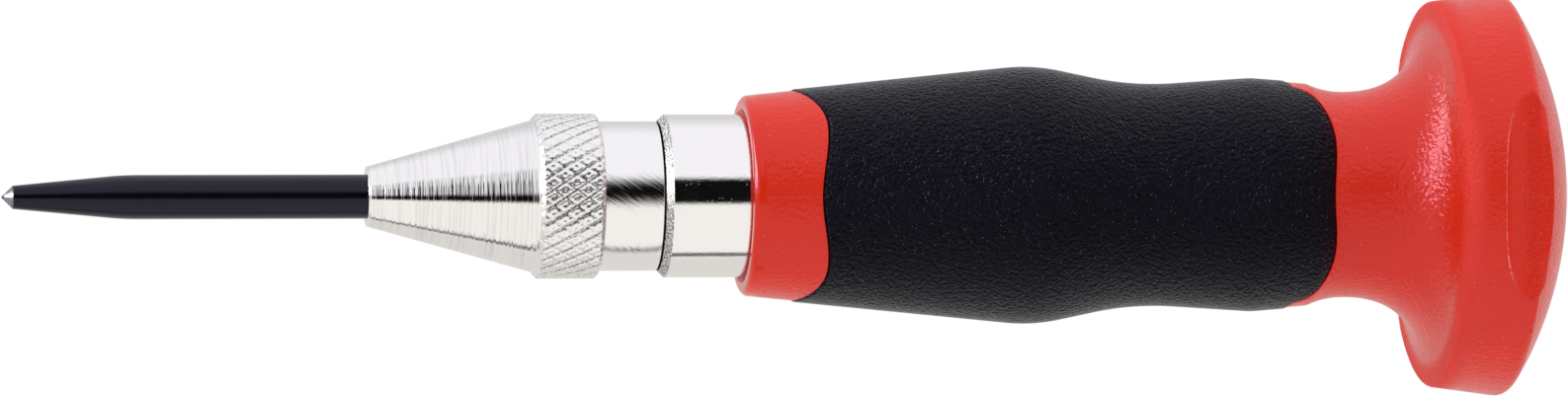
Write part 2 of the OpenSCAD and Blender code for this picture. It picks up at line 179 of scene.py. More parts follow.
class HandleSizes(bpy.types.PropertyGroup):
    """Sizes of the red handle and its soft grip."""

    collar_d: length("Collar diameter", "Diameter of the collar at its front edge", 18.2)
    collar_round: length("Collar round", "Radius on the collar's front edge", 1)
    bore_d: length("Bore", "Diameter of the bore that holds the barrel", 14.95)
    mouth_gap: length("Mouth gap", "Gap round the barrel at the mouth", 0.45)
    mouth_depth: length("Mouth depth", "Depth of the bevel inside the mouth", 0.9)
    core_d: length("Core diameter", "Diameter of the core under the grip", 17.95)
    belly_at: length("Belly place", "Distance from the collar's front to the belly's corner", 26.9)
    belly_d: length("Belly diameter", "Diameter at the belly's corner, before rounding", 23.62)
    belly_round: length("Belly round", "Radius that rounds the belly", 16)
    waist_at: length("Waist place", "Distance from the collar's front to the waist's corner", 36.2)
    waist_d: length("Waist diameter", "Diameter at the waist's corner, before rounding", 19.76)
    waist_round: length("Waist round", "Radius that rounds the waist", 28)
    swell_at: length("Swell place", "Distance from the collar's front to the rear swell's corner", 47.2)
    swell_d: length("Swell diameter", "Diameter at the rear swell's corner, before rounding", 21.22)
    swell_round: length("Swell round", "Radius that rounds the rear swell", 8)
    neck_at: length("Neck place", "Distance from the collar's front to the thinnest place", 55.8)
    neck_d: length("Neck diameter", "Diameter at the thinnest place", 18.9)
    neck_rise: angle("Neck rise", "Angle of the neck's hollow in front of its thinnest place", 25)
    flare_r: length("Flare radius", "Radius of the hollow flare to the head", 8.2)
    flare_turn: angle("Flare turn", "Angle of the flare behind the neck's thinnest place", 76)
    flare_power: number("Flare power", "2 makes the flare a circle, and more starts it flatter", 2.3)
    grip_proud: length("Grip height", "How far the grip stands above the handle", 0.12)
    grip_round: length("Grip edge round", "Radius of the soft grip's edges", 0.3)
    seam: length("Seam", "Gap between the grip and the handle", 0.1)
    seam_round: length("Seam round", "Radius of the handle's edges at the seam", 0.1)
    front_at: length("Grip front", "Distance from the collar's front to the grip", 6.2)
    front_wave: length("Front wave", "How far the grip's front edge waves back", 0.8)
    front_crest: length("Front crest", "Height of the front edge's crest above the axis", 6.6)
    front_fall: length("Front fall", "How far the front edge runs forward at the top", 3.7)
    rear_at: length("Grip rear", "Distance from the collar's front to the grip's rear edge", 53.1)
    rear_wave: length("Rear wave", "How far the grip's rear edge waves back", 0.35)
    rear_crest: length("Rear crest", "Height of the rear edge's crest above the axis", 5.0)
    rear_fall: length("Rear fall", "How far the rear edge runs forward at the top", 3)


class HeadSizes(bpy.types.PropertyGroup):
    """Sizes of the mushroom head."""

    front_d: length("Rim front", "Diameter at the front edge of the rim", 35.5)
    back_d: length("Rim back", "Diameter at the back edge of the rim", 37.3)
    rim_len: length("Rim length", "Length of the rim", 6.5)
    front_round: length("Front round", "Radius on the front edge of the rim", 0.45)
    soft_round: length("Soft round", "Radius on the same edge in front of the flats", 2.4)
    soft_reach: number("Soft reach", "Share of the flare that is kept in front of the soft edge", 0.86)
    back_round: length("Back round", "Radius on the back edge of the rim", 0.9)
    dome_r: length("Dome radius", "Radius of the domed palm end", 33.7)
    flat_start: length("Flat start", "Distance from the rim's front to the flats' run-out", 3.1)
    flat_runout: length("Flat run-out", "Radius of the hollow run-out of the flats", 3)
    flat_edge: length("Flat edge", "Width of the soft edge round the flats", 0.06)
    ridge: length("Parting ridge", "Height of the moulding's parting line", 0.02)
    ridge_w: length("Parting width", "Half width of the moulding's parting line", 0.05)


class SpringSizes(bpy.types.PropertyGroup):
    """Sizes of the three springs."""

    main_wire: length("Main wire", "Wire of the main spring", 1.4)
    main_turns: number("Main turns", "Turns of the main spring", 9)
    return_wire: length("Return wire", "Wire of the return spring", 0.6)
    return_turns: number("Return turns", "Turns of the return spring", 7)
    sear_wire: length("Sear wire", "Wire of the sear spring", 0.3)
    sear_turns: number("Sear turns", "Turns of the sear spring", 2.5)


class Finishes(bpy.types.PropertyGroup):
    """Colours and grain of the finishes."""

    red: colour("Red plastic", "Colour of the moulded handle", (0.62, 0.022, 0.0062))
    # Also the colour of the highlight painted along the crease in front of the flats.
    red_speck_and_highlight: colour("Pale specks", "Colour of the pale specks in the red", (0.85, 0.3, 0.28))
    red_grain: length("Red grain", "Size of the moulded grain on the red", 0.38)
    black: colour("Black grip", "Colour of the soft grip", (0.0016, 0.0016, 0.0036))
    black_pale: colour("Grip specks", "Colour of the light specks in the grip", (0.2, 0.2, 0.24))
    black_grain: length("Grip grain", "Size of the pebbled grain on the grip", 0.34)
    oxide: colour("Black oxide", "Colour of the blackened point", (0.0014, 0.0014, 0.0032))
    bare_steel: colour("Bare steel", "Colour of the ground tip", (0.45, 0.45, 0.47))
    plating: colour("Plating", "Colour of the plated nose and barrel", (0.93, 0.92, 0.92))
    # Painted shade: the corner behind the knurled ring, the spigot and the barrel's front face take this
    # colour as shade in their gaps; in the ring's grooves it is grime together with painted shade.
    shade_and_grime: colour("Grime", "Colour of the dark corners of the nose", (0.035, 0.02, 0.018))
    steel: colour("Hardened steel", "Colour of the inner steel pieces", (0.4, 0.41, 0.43))
    wire: colour("Spring wire", "Colour of the spring wire", (0.45, 0.46, 0.48))
    brass: colour("Brass", "Colour of the guide bush", (0.6, 0.42, 0.16))
    rubber: colour("Rubber", "Colour of the sealing ring", (0.012, 0.012, 0.012))


class Studio(bpy.types.PropertyGroup):
    """Camera, lamps and background."""

    azimuth: angle("Azimuth", "Camera's turn round the tool, from square to its side", -8.473)
    elevation: angle("Elevation", "Camera's height above the horizon", 0.846)
    distance: length("Distance", "Distance from the camera to the point it looks at", 820)
    lens: number("Lens", "Focal length in millimetres, on a sensor 36 mm wide", 206.5)
    aim_x: length("Aim place", "Place along the axis that the camera looks at", 71.267)
    aim_z: length("Aim height", "Height that the camera looks at", -0.211)
    fill: number("Fill", "Strength of the even light round the tool", 1.42)
    key: number("Key", "Brightness of the strip on the left, in mirrors", 15.0)
    top: number("Top", "Brightness of the softbox overhead", 0.7)
    floor_z: length("Floor", "Height of the floor under the tool's axis", -45)
    floor_r: length("Floor radius", "Radius at which the floor has faded into the background", 600)


class PunchSettings(bpy.types.PropertyGroup):
    """All settings of the tool."""

    point: bpy.props.PointerProperty(type=PointSizes)
    nose: bpy.props.PointerProperty(type=NoseSizes)
    barrel: bpy.props.PointerProperty(type=BarrelSizes)
    handle: bpy.props.PointerProperty(type=HandleSizes)
    head: bpy.props.PointerProperty(type=HeadSizes)
    springs: bpy.props.PointerProperty(type=SpringSizes)
    finishes: bpy.props.PointerProperty(type=Finishes)
    studio: bpy.props.PointerProperty(type=Studio)


# Paths and surfaces

def unit(vector):
    """The vector at length one."""
    return vector / np.linalg.norm(vector)


def rounded(points, radii, steps=4):
    """A path whose inner corners are arcs. Each arc touches both edges of its corner, and its radius is
    held where it would take more than a share of the shorter edge. Points of the arc are the weighted
    sum of the two directions from its centre, with sines of the turned angle as weights."""
    points = np.asarray(points, float)
    path = [points[:1]]
    for before, corner, after, radius in zip(points, points[1:], points[2:], radii):
        if radius == 0:
            path.append(corner[None])
            continue
        u = unit(before - corner)
        w = unit(after - corner)
        half = math.acos(np.clip(u @ w, -1, 1)) / 2
        edge = min(np.linalg.norm(before - corner), np.linalg.norm(after - corner))
        size = min(radius, EDGE_SHARE * edge * math.tan(half))
        centre = corner + unit(u + w) * size / math.sin(half)
        first = unit(corner + u * size / math.tan(half) - centre)
        last = unit(corner + w * size / math.tan(half) - centre)
        turn = math.pi - 2 * half
        t = np.linspace(0, 1, steps + 1)[:, None]
        arc = np.sin((1 - t) * turn) * first + np.sin(t * turn) * last
        path.append(centre + size * arc / math.sin(turn))
    path.append(points[-1:])
    return np.concatenate(path)


def swept_arc(centre, radius, first, last, steps):
    """Points of an arc about a (place, radius) centre, by angles from the axis."""
    a = np.linspace(first, last, steps + 1)
    return np.asarray(centre) + radius * np.stack([np.cos(a), np.sin(a)], 1)


def spaced(path, step):
    """The same path with points added, so that no edge is longer than step. Step is one length or one
    for each edge."""
    edges = np.diff(path, axis=0)
    counts = np.maximum(1, np.ceil(np.linalg.norm(edges, axis=1) / step)).astype(int)
    first = np.repeat(np.arange(len(counts)), counts)
    share = (np.arange(counts.sum()) - np.repeat(np.cumsum(counts) - counts, counts)) / counts[first]
    return np.concatenate([path[first] + share[:, None] * edges[first], path[-1:]])


def matched(path, other):
    """Points of a path at the same shares of its length as the points of another path."""
    shares = []
    for line in (path, other):
        run = np.concatenate([[0], np.cumsum(np.linalg.norm(np.diff(line, axis=0), axis=1))])
        shares.append(run / run[-1])
    return np.stack([np.interp(shares[1], shares[0], path[:, k]) for k in (0, 1)], 1)


def even_turn(count):
    """Angles spaced evenly round the axis."""
    return TURN * np.arange(count) / count


def around(place, radius, angles):
    """Grid of points round the X axis: place and radius run along the rows, and angles from +Y towards +Z
    along the columns."""
    return np.stack(
        np.broadcast_arrays(place, radius * np.cos(angles), radius * np.sin(angles)), axis=-1
    )


def skin(name, grid, loop=False, start=None, end=None):
    """Mesh of a grid of points whose columns close on themselves. With loop the last row joins the first.
    start and end are single points that close the first and the last row as a fan."""
    rows, columns = grid.shape[:2]
    index = np.arange(rows * columns).reshape(rows, columns)
    lower = index if loop else index[:-1]
    upper = np.roll(index, -1, axis=0) if loop else index[1:]
    quads = np.stack([lower, np.roll(lower, -1, 1), np.roll(upper, -1, 1), upper], -1).reshape(-1, 4)
    points = grid.reshape(-1, 3)
    fans = []
    if start is not None:
        pole = np.full(columns, len(points))
        fans += np.stack([pole, np.roll(index[0], -1), index[0]], -1).tolist()
        points = np.concatenate([points, [start]])
    if end is not None:
        pole = np.full(columns, len(points))
        fans += np.stack([index[-1], np.roll(index[-1], -1), pole], -1).tolist()
        points = np.concatenate([points, [end]])
    mesh = bpy.data.meshes.new(name)
    mesh.from_pydata(points.tolist(), [], quads.tolist() + fans)
    mesh.shade_smooth()
    mesh.update()
    return mesh


def piece(name, mesh, material, node):
    """An object that stands for a packed node: it rides on the node's body and takes its slot."""
    made = bpy.data.objects.new(name, mesh)
    bpy.context.scene.collection.objects.link(made)
    mesh.materials.append(material)
    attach(made, BODIES[node])
    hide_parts(node)
    return made


def near_zero(whole):
    """How far each value is from the nearest whole number, from 0 to 0.5."""
    return np.abs(whole - np.round(whole))


def smooth_min(a, b, width):
    """The lesser of two surfaces, blended over a width where they cross."""
    blend = np.maximum(width - np.abs(a - b), 0) / width
    return np.minimum(a, b) - blend ** 2 * width / 4


# Shapes of the pieces

def point_surface(s):
    """Point: a path from the tip to the bottom of the socket in its head, turned about the axis."""
    r = s.shank_d / 2
    front = POINT_END - s.head_len
    tip_round = 0.03 * MM
    edge_round = 0.05 * MM
    longest = 0.8 * MM
    columns = 96
    corners = [
        (POINT_X, 0),
        (POINT_X + s.tip_len, s.tip_d / 2),
        (s.taper_end, r),
        (front, r),
        (front, POINT_HEAD_R - s.head_bevel),
        (front + s.head_bevel, POINT_HEAD_R),
        (POINT_END - s.head_bevel, POINT_HEAD_R),
        (POINT_END, POINT_HEAD_R - s.head_bevel),
        (POINT_END, s.socket_d / 2),
        (POINT_END - s.socket_depth, s.socket_d / 2),
        (POINT_END - s.socket_depth, 0),
    ]
    radii = [tip_round, s.taper_blend] + [edge_round] * (len(corners) - 4)
    path = spaced(rounded(corners, radii, steps=6), longest)
    grid = around(path[1:-1, :1], path[1:-1, 1:], even_turn(columns))
    return skin("punch_point_turned", grid, start=(path[0, 0], 0, 0), end=(path[-1, 0], 0, 0))


def nose_places(s):
    """Places of the ring's front edge, the ring's back edge and the neck's back edge."""
    cone_x = NOSE_X + s.cone_len
    knurl_x = cone_x + s.knurl_len
    return cone_x, knurl_x, knurl_x + s.neck_len


def knurl_cut(s, x, turn):
    """Share of the knurl's depth that is cut away at each place and angle. Two crossed families of grooves
    run round the ring, one of them shallower. Each diamond has a dent in its middle and a scratch through
    it."""
    groove_w = 0.24
    second_depth = 0.6
    scratch_w = 0.1
    scratch_depth = 0.35
    dent_w = 0.15
    dent_depth = 0.5
    middle = 0.5
    across = s.knurl_starts * turn / TURN
    along = (x - nose_places(s)[0]) / s.knurl_rise
    first = near_zero(across + along)
    second = near_zero(across - along)
    crossing = np.clip(1 - second / groove_w, 0, 1) * second_depth
    groove = np.maximum(np.clip(1 - first / groove_w, 0, 1), crossing)
    scratch = scratch_depth * np.clip(1 - (middle - first) / scratch_w, 0, 1)
    dent = dent_depth * np.exp(-((middle - first) ** 2 + (middle - second) ** 2) / dent_w ** 2)
    return np.maximum(groove, np.maximum(dent, scratch))


def nose_surface(s):
    """Nose: a closed path along the outside and back through the bore, turned about the axis. On the ring
    the radius is lessened by the knurl's cut, and on the spigot it is the lesser of the path's radius and
    that of a right-hand thread."""
    cone_x, knurl_x, neck_x = nose_places(s)
    groove_x = neck_x + s.groove_at
    groove_end = groove_x + s.groove_len
    spigot_r = s.thread_d / 2
    neck_r = s.neck_d / 2
    bore_r = s.bore_d / 2
    lead = 0.3 * MM
    shoulder = NOSE_X + s.bore_len
    middle = (NOSE_X + shoulder) / 2
    corners = [
        (middle, bore_r),
        (NOSE_X, bore_r),
        (NOSE_X, s.face_d / 2),
        (cone_x, s.cone_d / 2),
        (cone_x, KNURL_R - s.knurl_bevel),
        (cone_x + s.knurl_bevel, KNURL_R),
        (knurl_x - s.knurl_bevel, KNURL_R),
        (knurl_x, KNURL_R - s.knurl_bevel),
        (knurl_x, neck_r),
        (neck_x, neck_r),
        (neck_x, spigot_r),
        (groove_x, spigot_r),
        (groove_x, spigot_r - s.groove_depth),
        (groove_end, spigot_r - s.groove_depth),
        (groove_end, spigot_r),
        (SPIGOT_END - lead, spigot_r),
        (SPIGOT_END, spigot_r - lead),
        (SPIGOT_END, s.cavity_d / 2),
        (shoulder, s.cavity_d / 2),
        (shoulder, bore_r),
        (middle + lead, bore_r),
    ]
    path = rounded(corners, [s.edge_round] * (len(corners) - 2), steps=2)
    place = (path[1:, 0] + path[:-1, 0]) / 2
    outside = (path[1:, 1] + path[:-1, 1]) / 2 > spigot_r - lead
    on_knurl = outside & (place > cone_x) & (place < knurl_x)
    on_thread = outside & (place > groove_end)
    knurl_step = 0.1 * MM
    thread_step = 0.12 * MM
    plain_step = 0.8 * MM
    columns = 442
    path = spaced(path, np.where(on_knurl, knurl_step, np.where(on_thread, thread_step, plain_step)))
    x, r = path[:, :1], path[:, 1:]
    turn = even_turn(columns)
    in_ring = (x >= cone_x) & (x <= knurl_x) & (r > neck_r)
    share = np.clip((r - neck_r) / (KNURL_R - neck_r), 0, 1)
    cut_r = np.where(in_ring, r - s.knurl_depth * knurl_cut(s, x, turn) * share, r)
    root = 1.15
    flank_w = 0.4
    flank = np.clip(root - near_zero((x - groove_end) / s.thread_pitch - turn / TURN) / flank_w, 0, 1)
    in_thread = (x > groove_end + lead) & (r > s.cavity_d / 2 + lead)
    cut_r = np.where(in_thread, np.minimum(cut_r, spigot_r - s.thread_depth * flank), cut_r)
    return skin("nose_turned", around(x, cut_r, turn), loop=True)


def seal_surface():
    """Sealing ring: a circle carried round the axis, with a thin flash line on its outside."""
    section_r = (SEAL_END - SEAL_X) / 2
    flash_depth = 0.02 * MM
    flash_w = 0.08
    section_sides = 28
    columns = 128
    a = even_turn(section_sides)[:, None]
    flash = flash_depth * np.exp(-(np.sin(a / 2 - TURN / 8) / flash_w) ** 2)
    x = (SEAL_X + SEAL_END) / 2 - section_r * np.cos(a)
    r = SEAL_R - section_r + (section_r - flash) * np.sin(a)
    return skin("seal_moulded", around(x, r, even_turn(columns)), loop=True)


def barrel_surface(s):
    """Barrel: a closed path along the outside and back through its stepped and tapered bore, turned
    about the axis."""
    counter_r = s.counter_d / 2
    screw_gap = 0.05 * MM
    screw_r = SCREW_R + screw_gap
    middle = (BARREL_X + BUSH_END) / 2
    longest = 1.5 * MM
    columns = 192
    corners = [
        (middle, counter_r),
        (BARREL_X, counter_r),
        (BARREL_X, BARREL_R - s.bevel),
        (BARREL_X + s.bevel, BARREL_R),
        (BARREL_END - s.rear_bevel, BARREL_R),
        (BARREL_END, BARREL_R - s.rear_bevel),
        (BARREL_END, screw_r),
        (SCREW_X, screw_r),
        (SCREW_X, s.bore_d / 2),
        (SEAR_X + s.stroke, s.bore_d / 2),
        (SEAR_X, s.cam_d / 2),
        (BUSH_END, s.cam_d / 2),
        (BUSH_END, counter_r),
        (middle + s.bevel, counter_r),
    ]
    path = spaced(rounded(corners, [s.edge_round] * (len(corners) - 2), steps=4), longest)
    return skin("barrel_turned", around(path[:, :1], path[:, 1:], even_turn(columns)), loop=True)


def handle_outline(s):
    """The handle's outline from the collar's front to the thinnest place of the neck, and the arc of the
    flare behind it: a path with rounded corners, then a quarter of a squared ellipse, whose place and
    height are powers of a sine and a cosine, hollow to the outside."""
    neck_x = HANDLE_X + s.neck_at
    centre_r = s.neck_d / 2 + s.flare_r
    low = 0.75 * TURN
    rise = swept_arc((neck_x, centre_r), s.flare_r, low - s.neck_rise, low, steps=16)
    t = np.linspace(0, s.flare_turn, 60)
    power = 2 / s.flare_power
    flare = np.stack([neck_x + s.flare_r * np.sin(t) ** power, centre_r - s.flare_r * np.cos(t) ** power], 1)
    front = rounded(
        [
            (HANDLE_X, s.bore_d / 2 + s.mouth_gap),
            (HANDLE_X, s.collar_d / 2),
            (HANDLE_X + s.belly_at, s.belly_d / 2),
            (HANDLE_X + s.waist_at, s.waist_d / 2),
            (HANDLE_X + s.swell_at, s.swell_d / 2),
            rise[0],
        ],
        [s.collar_round, s.belly_round, s.waist_round, s.swell_round],
        steps=14,
    )
    return np.concatenate([front[:-1], rise]), flare


def rim_front(s):
    """Place of the front edge of the head's rim."""
    return HANDLE_X + s.neck_at + s.flare_r


def radius_at(outline, place):
    """Radius of an outline at places along the axis."""
    return np.interp(place, outline[:, 0], outline[:, 1])


def steps_between(first, last, rows):
    """Rows of places in even steps between two edges, without the edges themselves."""
    return first + np.linspace(0, 1, rows + 2)[1:-1, None] * (last - first)


def edge_place(height, start, wave, crest, fall, top):
    """Place of a grip edge at a height from the axis: half a cosine wave back to the crest, then a quarter
    of an ellipse forward."""
    h = np.abs(height)
    back = wave * (1 - np.cos(math.pi * np.minimum(h / crest, 1))) / 2
    up = np.clip((h - crest) / (top - crest), 0, 1)
    return start + back - fall * (1 - np.sqrt(1 - up ** 2))


def grip_edges(s, outline, proud, turn):
    """Places of the grip's front and rear edges at each angle. An edge depends on the height of the
    surface, and the height on the place, so the place is found by repeated halfway steps."""
    found = []
    top = s.waist_d / 2
    halfway_steps = 60
    for at, wave, crest, fall in (
        (s.front_at, s.front_wave, s.front_crest, s.front_fall),
        (s.rear_at, s.rear_wave, s.rear_crest, s.rear_fall),
    ):
        start = HANDLE_X + at
        place = np.full(turn.shape, start)
        for _ in range(halfway_steps):
            height = (radius_at(outline, place) + proud) * np.sin(turn)
            place = (place + edge_place(height, start, wave, crest, fall, top)) / 2
        found.append(place)
    return found


def crowded_turn(count, flat_half, flat_extra, line_w, line_extra):
    """Angles round the axis, closer together over both flats and at the parting line: the places where
    the running sum of a density reaches even steps."""
    samples = 40000
    fine = np.linspace(0, TURN, samples)
    side = np.minimum(fine % math.pi, math.pi - fine % math.pi)
    density = 1 + flat_extra * (side < flat_half) + line_extra * np.exp(-(side / line_w) ** 2)
    total = np.concatenate([[0], np.cumsum((density[1:] + density[:-1]) / 2)])
    return np.interp(np.arange(count) / count * total[-1], total, fine)


def head_rows(s, head, flare, turn):
    """Rows over flare, rim and dome. A path with a sharp front edge of the rim is mixed with one whose edge
    is soft, by a smooth share that is one in front of the flats. The radius is then the blended lesser of
    this outline and a plane at each flat, which starts with a hollow run-out."""
    fine_step = 0.13 * MM
    fine_edge = 1.5 * MM
    dome_share = 0.9
    soft_from = 0.66
    soft_over = 0.26
    least_facing = 0.05
    no_plane = 2 * head.back_d
    rim_x = rim_front(s)
    rim_end = rim_x + head.rim_len
    dome_x = rim_end - math.sqrt(head.dome_r ** 2 - head.back_d ** 2 / 4)
    dome_turn = dome_share * math.asin(head.back_d / 2 / head.dome_r)
    dome = swept_arc((dome_x, 0), head.dome_r, dome_turn, 0, steps=60)

    def front_path(edge_round, reach):
        """Flare and rim, with a radius on the rim's front edge behind a share of the flare."""
        bend = flare[: round(reach * len(flare))]
        corners = [bend[-1], (rim_x, head.front_d / 2), (rim_end, head.back_d / 2), dome[0]]
        rim = rounded(corners, [edge_round, head.back_round], steps=10)
        return spaced(np.concatenate([bend, rim[1:-1]]), fine_step)

    sharp = front_path(head.front_round, 1)
    soft = matched(front_path(head.soft_round, head.soft_reach), sharp)
    facing = np.abs(np.cos(turn))
    share = np.clip((facing - soft_from) / soft_over, 0, 1)
    share = share * share * (3 - 2 * share)
    by_flat = dome[:, 1] > FLAT_Y - fine_edge
    back = np.concatenate([spaced(dome[by_flat], fine_step), dome[~by_flat][::3]])
    front = sharp[:, None] + share[:, None] * (soft - sharp)[:, None]
    rows = np.concatenate([front, np.repeat(back[:, None], len(turn), axis=1)])
    x, r = rows[..., 0], rows[..., 1]
    flat_x = rim_x + head.flat_start + head.flat_runout
    lead = np.clip(flat_x - x, 0, head.flat_runout)
    plane = FLAT_Y + head.flat_runout - np.sqrt(head.flat_runout ** 2 - lead ** 2)
    plane = np.where(x > flat_x - head.flat_runout, plane, no_plane)
    return x, smooth_min(r, plane / np.maximum(facing, least_facing), head.flat_edge)


def handle_surface(s, head):
    """Handle: rows run from the bottom of the bore forward to the mouth, round the collar, along the core
    under the grip, and over neck and head. Rows at the grip's edges bend with the edges. A thin ridge
    follows the parting line."""
    outline, flare = handle_outline(s)
    turn = crowded_turn(400, flat_half=0.56, flat_extra=1.9, line_w=0.006, line_extra=36)
    front, rear = grip_edges(s, outline, 0, turn)
    front = front - s.seam
    rear = rear + s.seam
    level = np.zeros_like(turn)
    core_r = s.core_d / 2
    bore_r = s.bore_d / 2
    mouth_r = bore_r + s.mouth_gap
    hair = 0.02 * MM
    bore_rounds = [0.3 * MM, 0.4 * MM, 0.12 * MM]
    core_fillet = 0.15 * MM
    above_core = 0.2 * MM
    seam_rows = 5
    inside = rounded(
        [
            (BARREL_END, 0),
            (BARREL_END, bore_r),
            (HANDLE_X + s.mouth_depth, bore_r),
            (HANDLE_X, mouth_r),
            (HANDLE_X, mouth_r + hair),
        ],
        bore_rounds,
    )
    on_round = (outline[:, 0] < HANDLE_X + 1.5 * s.collar_round) & (outline[:, 1] > mouth_r + 1.5 * hair)
    start = np.concatenate([inside[1:-1], outline[on_round]])

    def seam_edge(place, side):
        """Rows that round the outline's edge at the seam and go down to the core."""
        a = np.linspace(0, TURN / 4, seam_rows)[:, None]
        bent = place - side * s.seam_round * (1 - np.sin(a))
        height = radius_at(outline, place) - s.seam_round * (1 - np.cos(a))
        bottom = np.stack([core_r + core_fillet + level, core_r + level])
        return np.concatenate([bent, np.stack([place, place])]), np.concatenate([height, bottom])

    rear_x, rear_r = seam_edge(rear, -1)
    collar = steps_between(start[-1, 0], front - s.seam_round, rows=16)
    core = steps_between(front, rear, rows=6)
    neck = steps_between(rear + s.seam_round, flare[0, 0], rows=14)
    parts = [
        (start[:, :1] + level, start[:, 1:] + level),
        (collar, radius_at(outline, collar)),
        seam_edge(front, 1),
        (core, np.full_like(core, core_r)),
        (rear_x[::-1], rear_r[::-1]),
        (neck, radius_at(outline, neck)),
        head_rows(s, head, flare, turn),
    ]
    place, height = (np.concatenate(rows) for rows in zip(*parts))
    outside = np.arange(len(place))[:, None] >= len(start)
    ridge = head.ridge * np.exp(-(height * np.sin(turn) / head.ridge_w) ** 2)
    height = height + np.where(outside & (height > core_r + above_core), ridge, 0)
    grid = around(place[:-1], height[:-1], turn)
    return skin("handle_moulded", grid, start=(BARREL_END, 0, 0), end=(HEAD_END, 0, 0))


def grip_surface(s):
    """Soft grip: rows run along the outside between the two waved edges, with rounded lips, and back along
    the core. The outside is the handle's outline, raised a little."""
    outline, _ = handle_outline(s)
    turn = crowded_turn(360, flat_half=0.2, flat_extra=0, line_w=0.01, line_extra=6)
    front, rear = grip_edges(s, outline, s.grip_proud, turn)
    lip = s.grip_round
    lip_rows = 7
    inner_rows = 12
    a = np.linspace(0, TURN / 4, lip_rows)[:, None]
    front_x = front + lip * (1 - np.cos(a))
    rear_x = rear - lip * (1 - np.cos(a[::-1]))
    run_x = steps_between(front_x[-1], rear_x[0], rows=120)
    inner_x = front + np.linspace(1, 0, inner_rows)[:, None] * (rear - front)
    place = np.concatenate([front_x, run_x, rear_x, inner_x])
    height = np.concatenate(
        [
            radius_at(outline, front_x) + s.grip_proud - lip * (1 - np.sin(a)),
            radius_at(outline, run_x) + s.grip_proud,
            radius_at(outline, rear_x) + s.grip_proud - lip * (1 - np.sin(a[::-1])),
            np.full_like(inner_x, s.core_d / 2),
        ]
    )
    return skin("grip_moulded", around(place, height, turn), loop=True)


def coil_surface(name, first, last, mean_r, wire, turns, place=None):
    """Spring: a circle carried along a helix about the X axis. The rise is half as steep at both ends and
    eases to its full rate within one turn, and the wire's ends are rounded. With a place, the coil
    stands along Z there."""
    steps_a_turn = 40
    sides = 12
    end_rate = 0.5
    end_share = 0.3
    steps = int(turns * steps_a_turn)
    a = np.linspace(0, TURN * turns, steps)
    rate = end_rate + (1 - end_rate) * np.clip(np.minimum(a, a[-1] - a) / TURN, 0, 1)
    climb = np.concatenate([[0], np.cumsum((rate[1:] + rate[:-1]) / 2)])
    x = first + wire / 2 + (last - first - wire) * climb / climb[-1]
    none = np.zeros_like(a)
    out = np.stack([none, np.cos(a), np.sin(a)], 1)
    line = mean_r * out + np.stack([x, none, none], 1)
    along = np.gradient(line, axis=0)
    along = along / np.linalg.norm(along, axis=1)[:, None]
    side = np.cross(along, out)
    b = even_turn(sides)[None, :, None]
    size = np.full(steps, wire / 2)
    size[[0, -1]] = end_share * wire
    ring = np.cos(b) * out[:, None] + np.sin(b) * side[:, None]
    grid = line[:, None] + size[:, None, None] * ring
    poles = np.stack([line[0], line[-1]])
    if place is not None:
        grid = np.stack([place - grid[..., 2], grid[..., 1], grid[..., 0]], -1)
        poles = np.stack([place - poles[:, 2], poles[:, 1], poles[:, 0]], -1)
    return skin(name, grid, start=poles[0], end=poles[1])


# Shader nodes

WHITE = (1.0, 1.0, 1.0, 1.0)
# Range in which most values of a noise lie
NOISE_SPREAD = (0.3, 0.7)


def put(tree, kind, inputs=None, **settings):
    """Adds a node with its settings, and feeds its inputs: a socket is linked, another value is set."""
    made = tree.nodes.new(kind)
    for key, value in settings.items():
        setattr(made, key, value)
    for key, value in (inputs or {}).items():
        if isinstance(value, bpy.types.NodeSocket):
            tree.links.new(value, made.inputs[key])
        else:
            made.inputs[key].default_value = value
    return made


def maths(operation, first, second=0.0, clamp=False):
    """A Math node's result, in the tree of the first value that is a socket."""
    tree = next(value.id_data for value in (first, second) if isinstance(value, bpy.types.NodeSocket))
    made = put(tree, "ShaderNodeMath", {0: first, 1: second}, operation=operation, use_clamp=clamp)
    return made.outputs[0]


def times(first, second):
    """Product of two values."""
    return maths("MULTIPLY", first, second)


def plus(first, second):
    """Sum of two values."""
    return maths("ADD", first, second)


def minus(first, second):
    """Difference of two values."""
    return maths("SUBTRACT", first, second)


def over(first, second):
    """Quotient of two values."""
    return maths("DIVIDE", first, second)


def most(first, second):
    """The greater of two values."""
    return maths("MAXIMUM", first, second)


def remainder(value):
    """What a value leaves of one."""
    return minus(1.0, value)


def apart(first, second):
    """How far two values are apart."""
    return maths("ABSOLUTE", minus(first, second))


def ramp(value, low, high, first=0.0, last=1.0):
    """A value carried smoothly from first at low to last at high."""
    inputs = {"Value": value, "From Min": low, "From Max": high, "To Min": first, "To Max": last}
    made = put(value.id_data, "ShaderNodeMapRange", inputs, interpolation_type="SMOOTHSTEP")
    return made.outputs["Result"]


def fade(value, low, high):
    """A mask that falls smoothly from one at low to nothing at high."""
    return ramp(value, low, high, 1.0, 0.0)


def mix(share, first, last):
    """A colour between two, by a share."""
    return put(share.id_data, "ShaderNodeMix", {0: share, 6: first, 7: last}, data_type="RGBA").outputs[2]


def shaded(rgb, share):
    """A share of a colour."""
    return tuple(share * c for c in rgb[:3]) + (1.0,)


def object_place(tree):
    """Object coordinates of a piece."""
    return put(tree, "ShaderNodeTexCoord").outputs["Object"]


def split(vector):
    """X, Y and Z of a vector."""
    return put(vector.id_data, "ShaderNodeSeparateXYZ", {"Vector": vector}).outputs


def off_axis(place):
    """Distance from the tool's axis, from a split place."""
    return maths("SQRT", plus(maths("POWER", place["Y"], 2.0), maths("POWER", place["Z"], 2.0)))


def noise(place, scale, detail, roughness=0.5):
    """A noise at a place."""
    inputs = {"Vector": place, "Scale": scale, "Detail": detail, "Roughness": roughness}
    return put(place.id_data, "ShaderNodeTexNoise", inputs).outputs["Fac"]


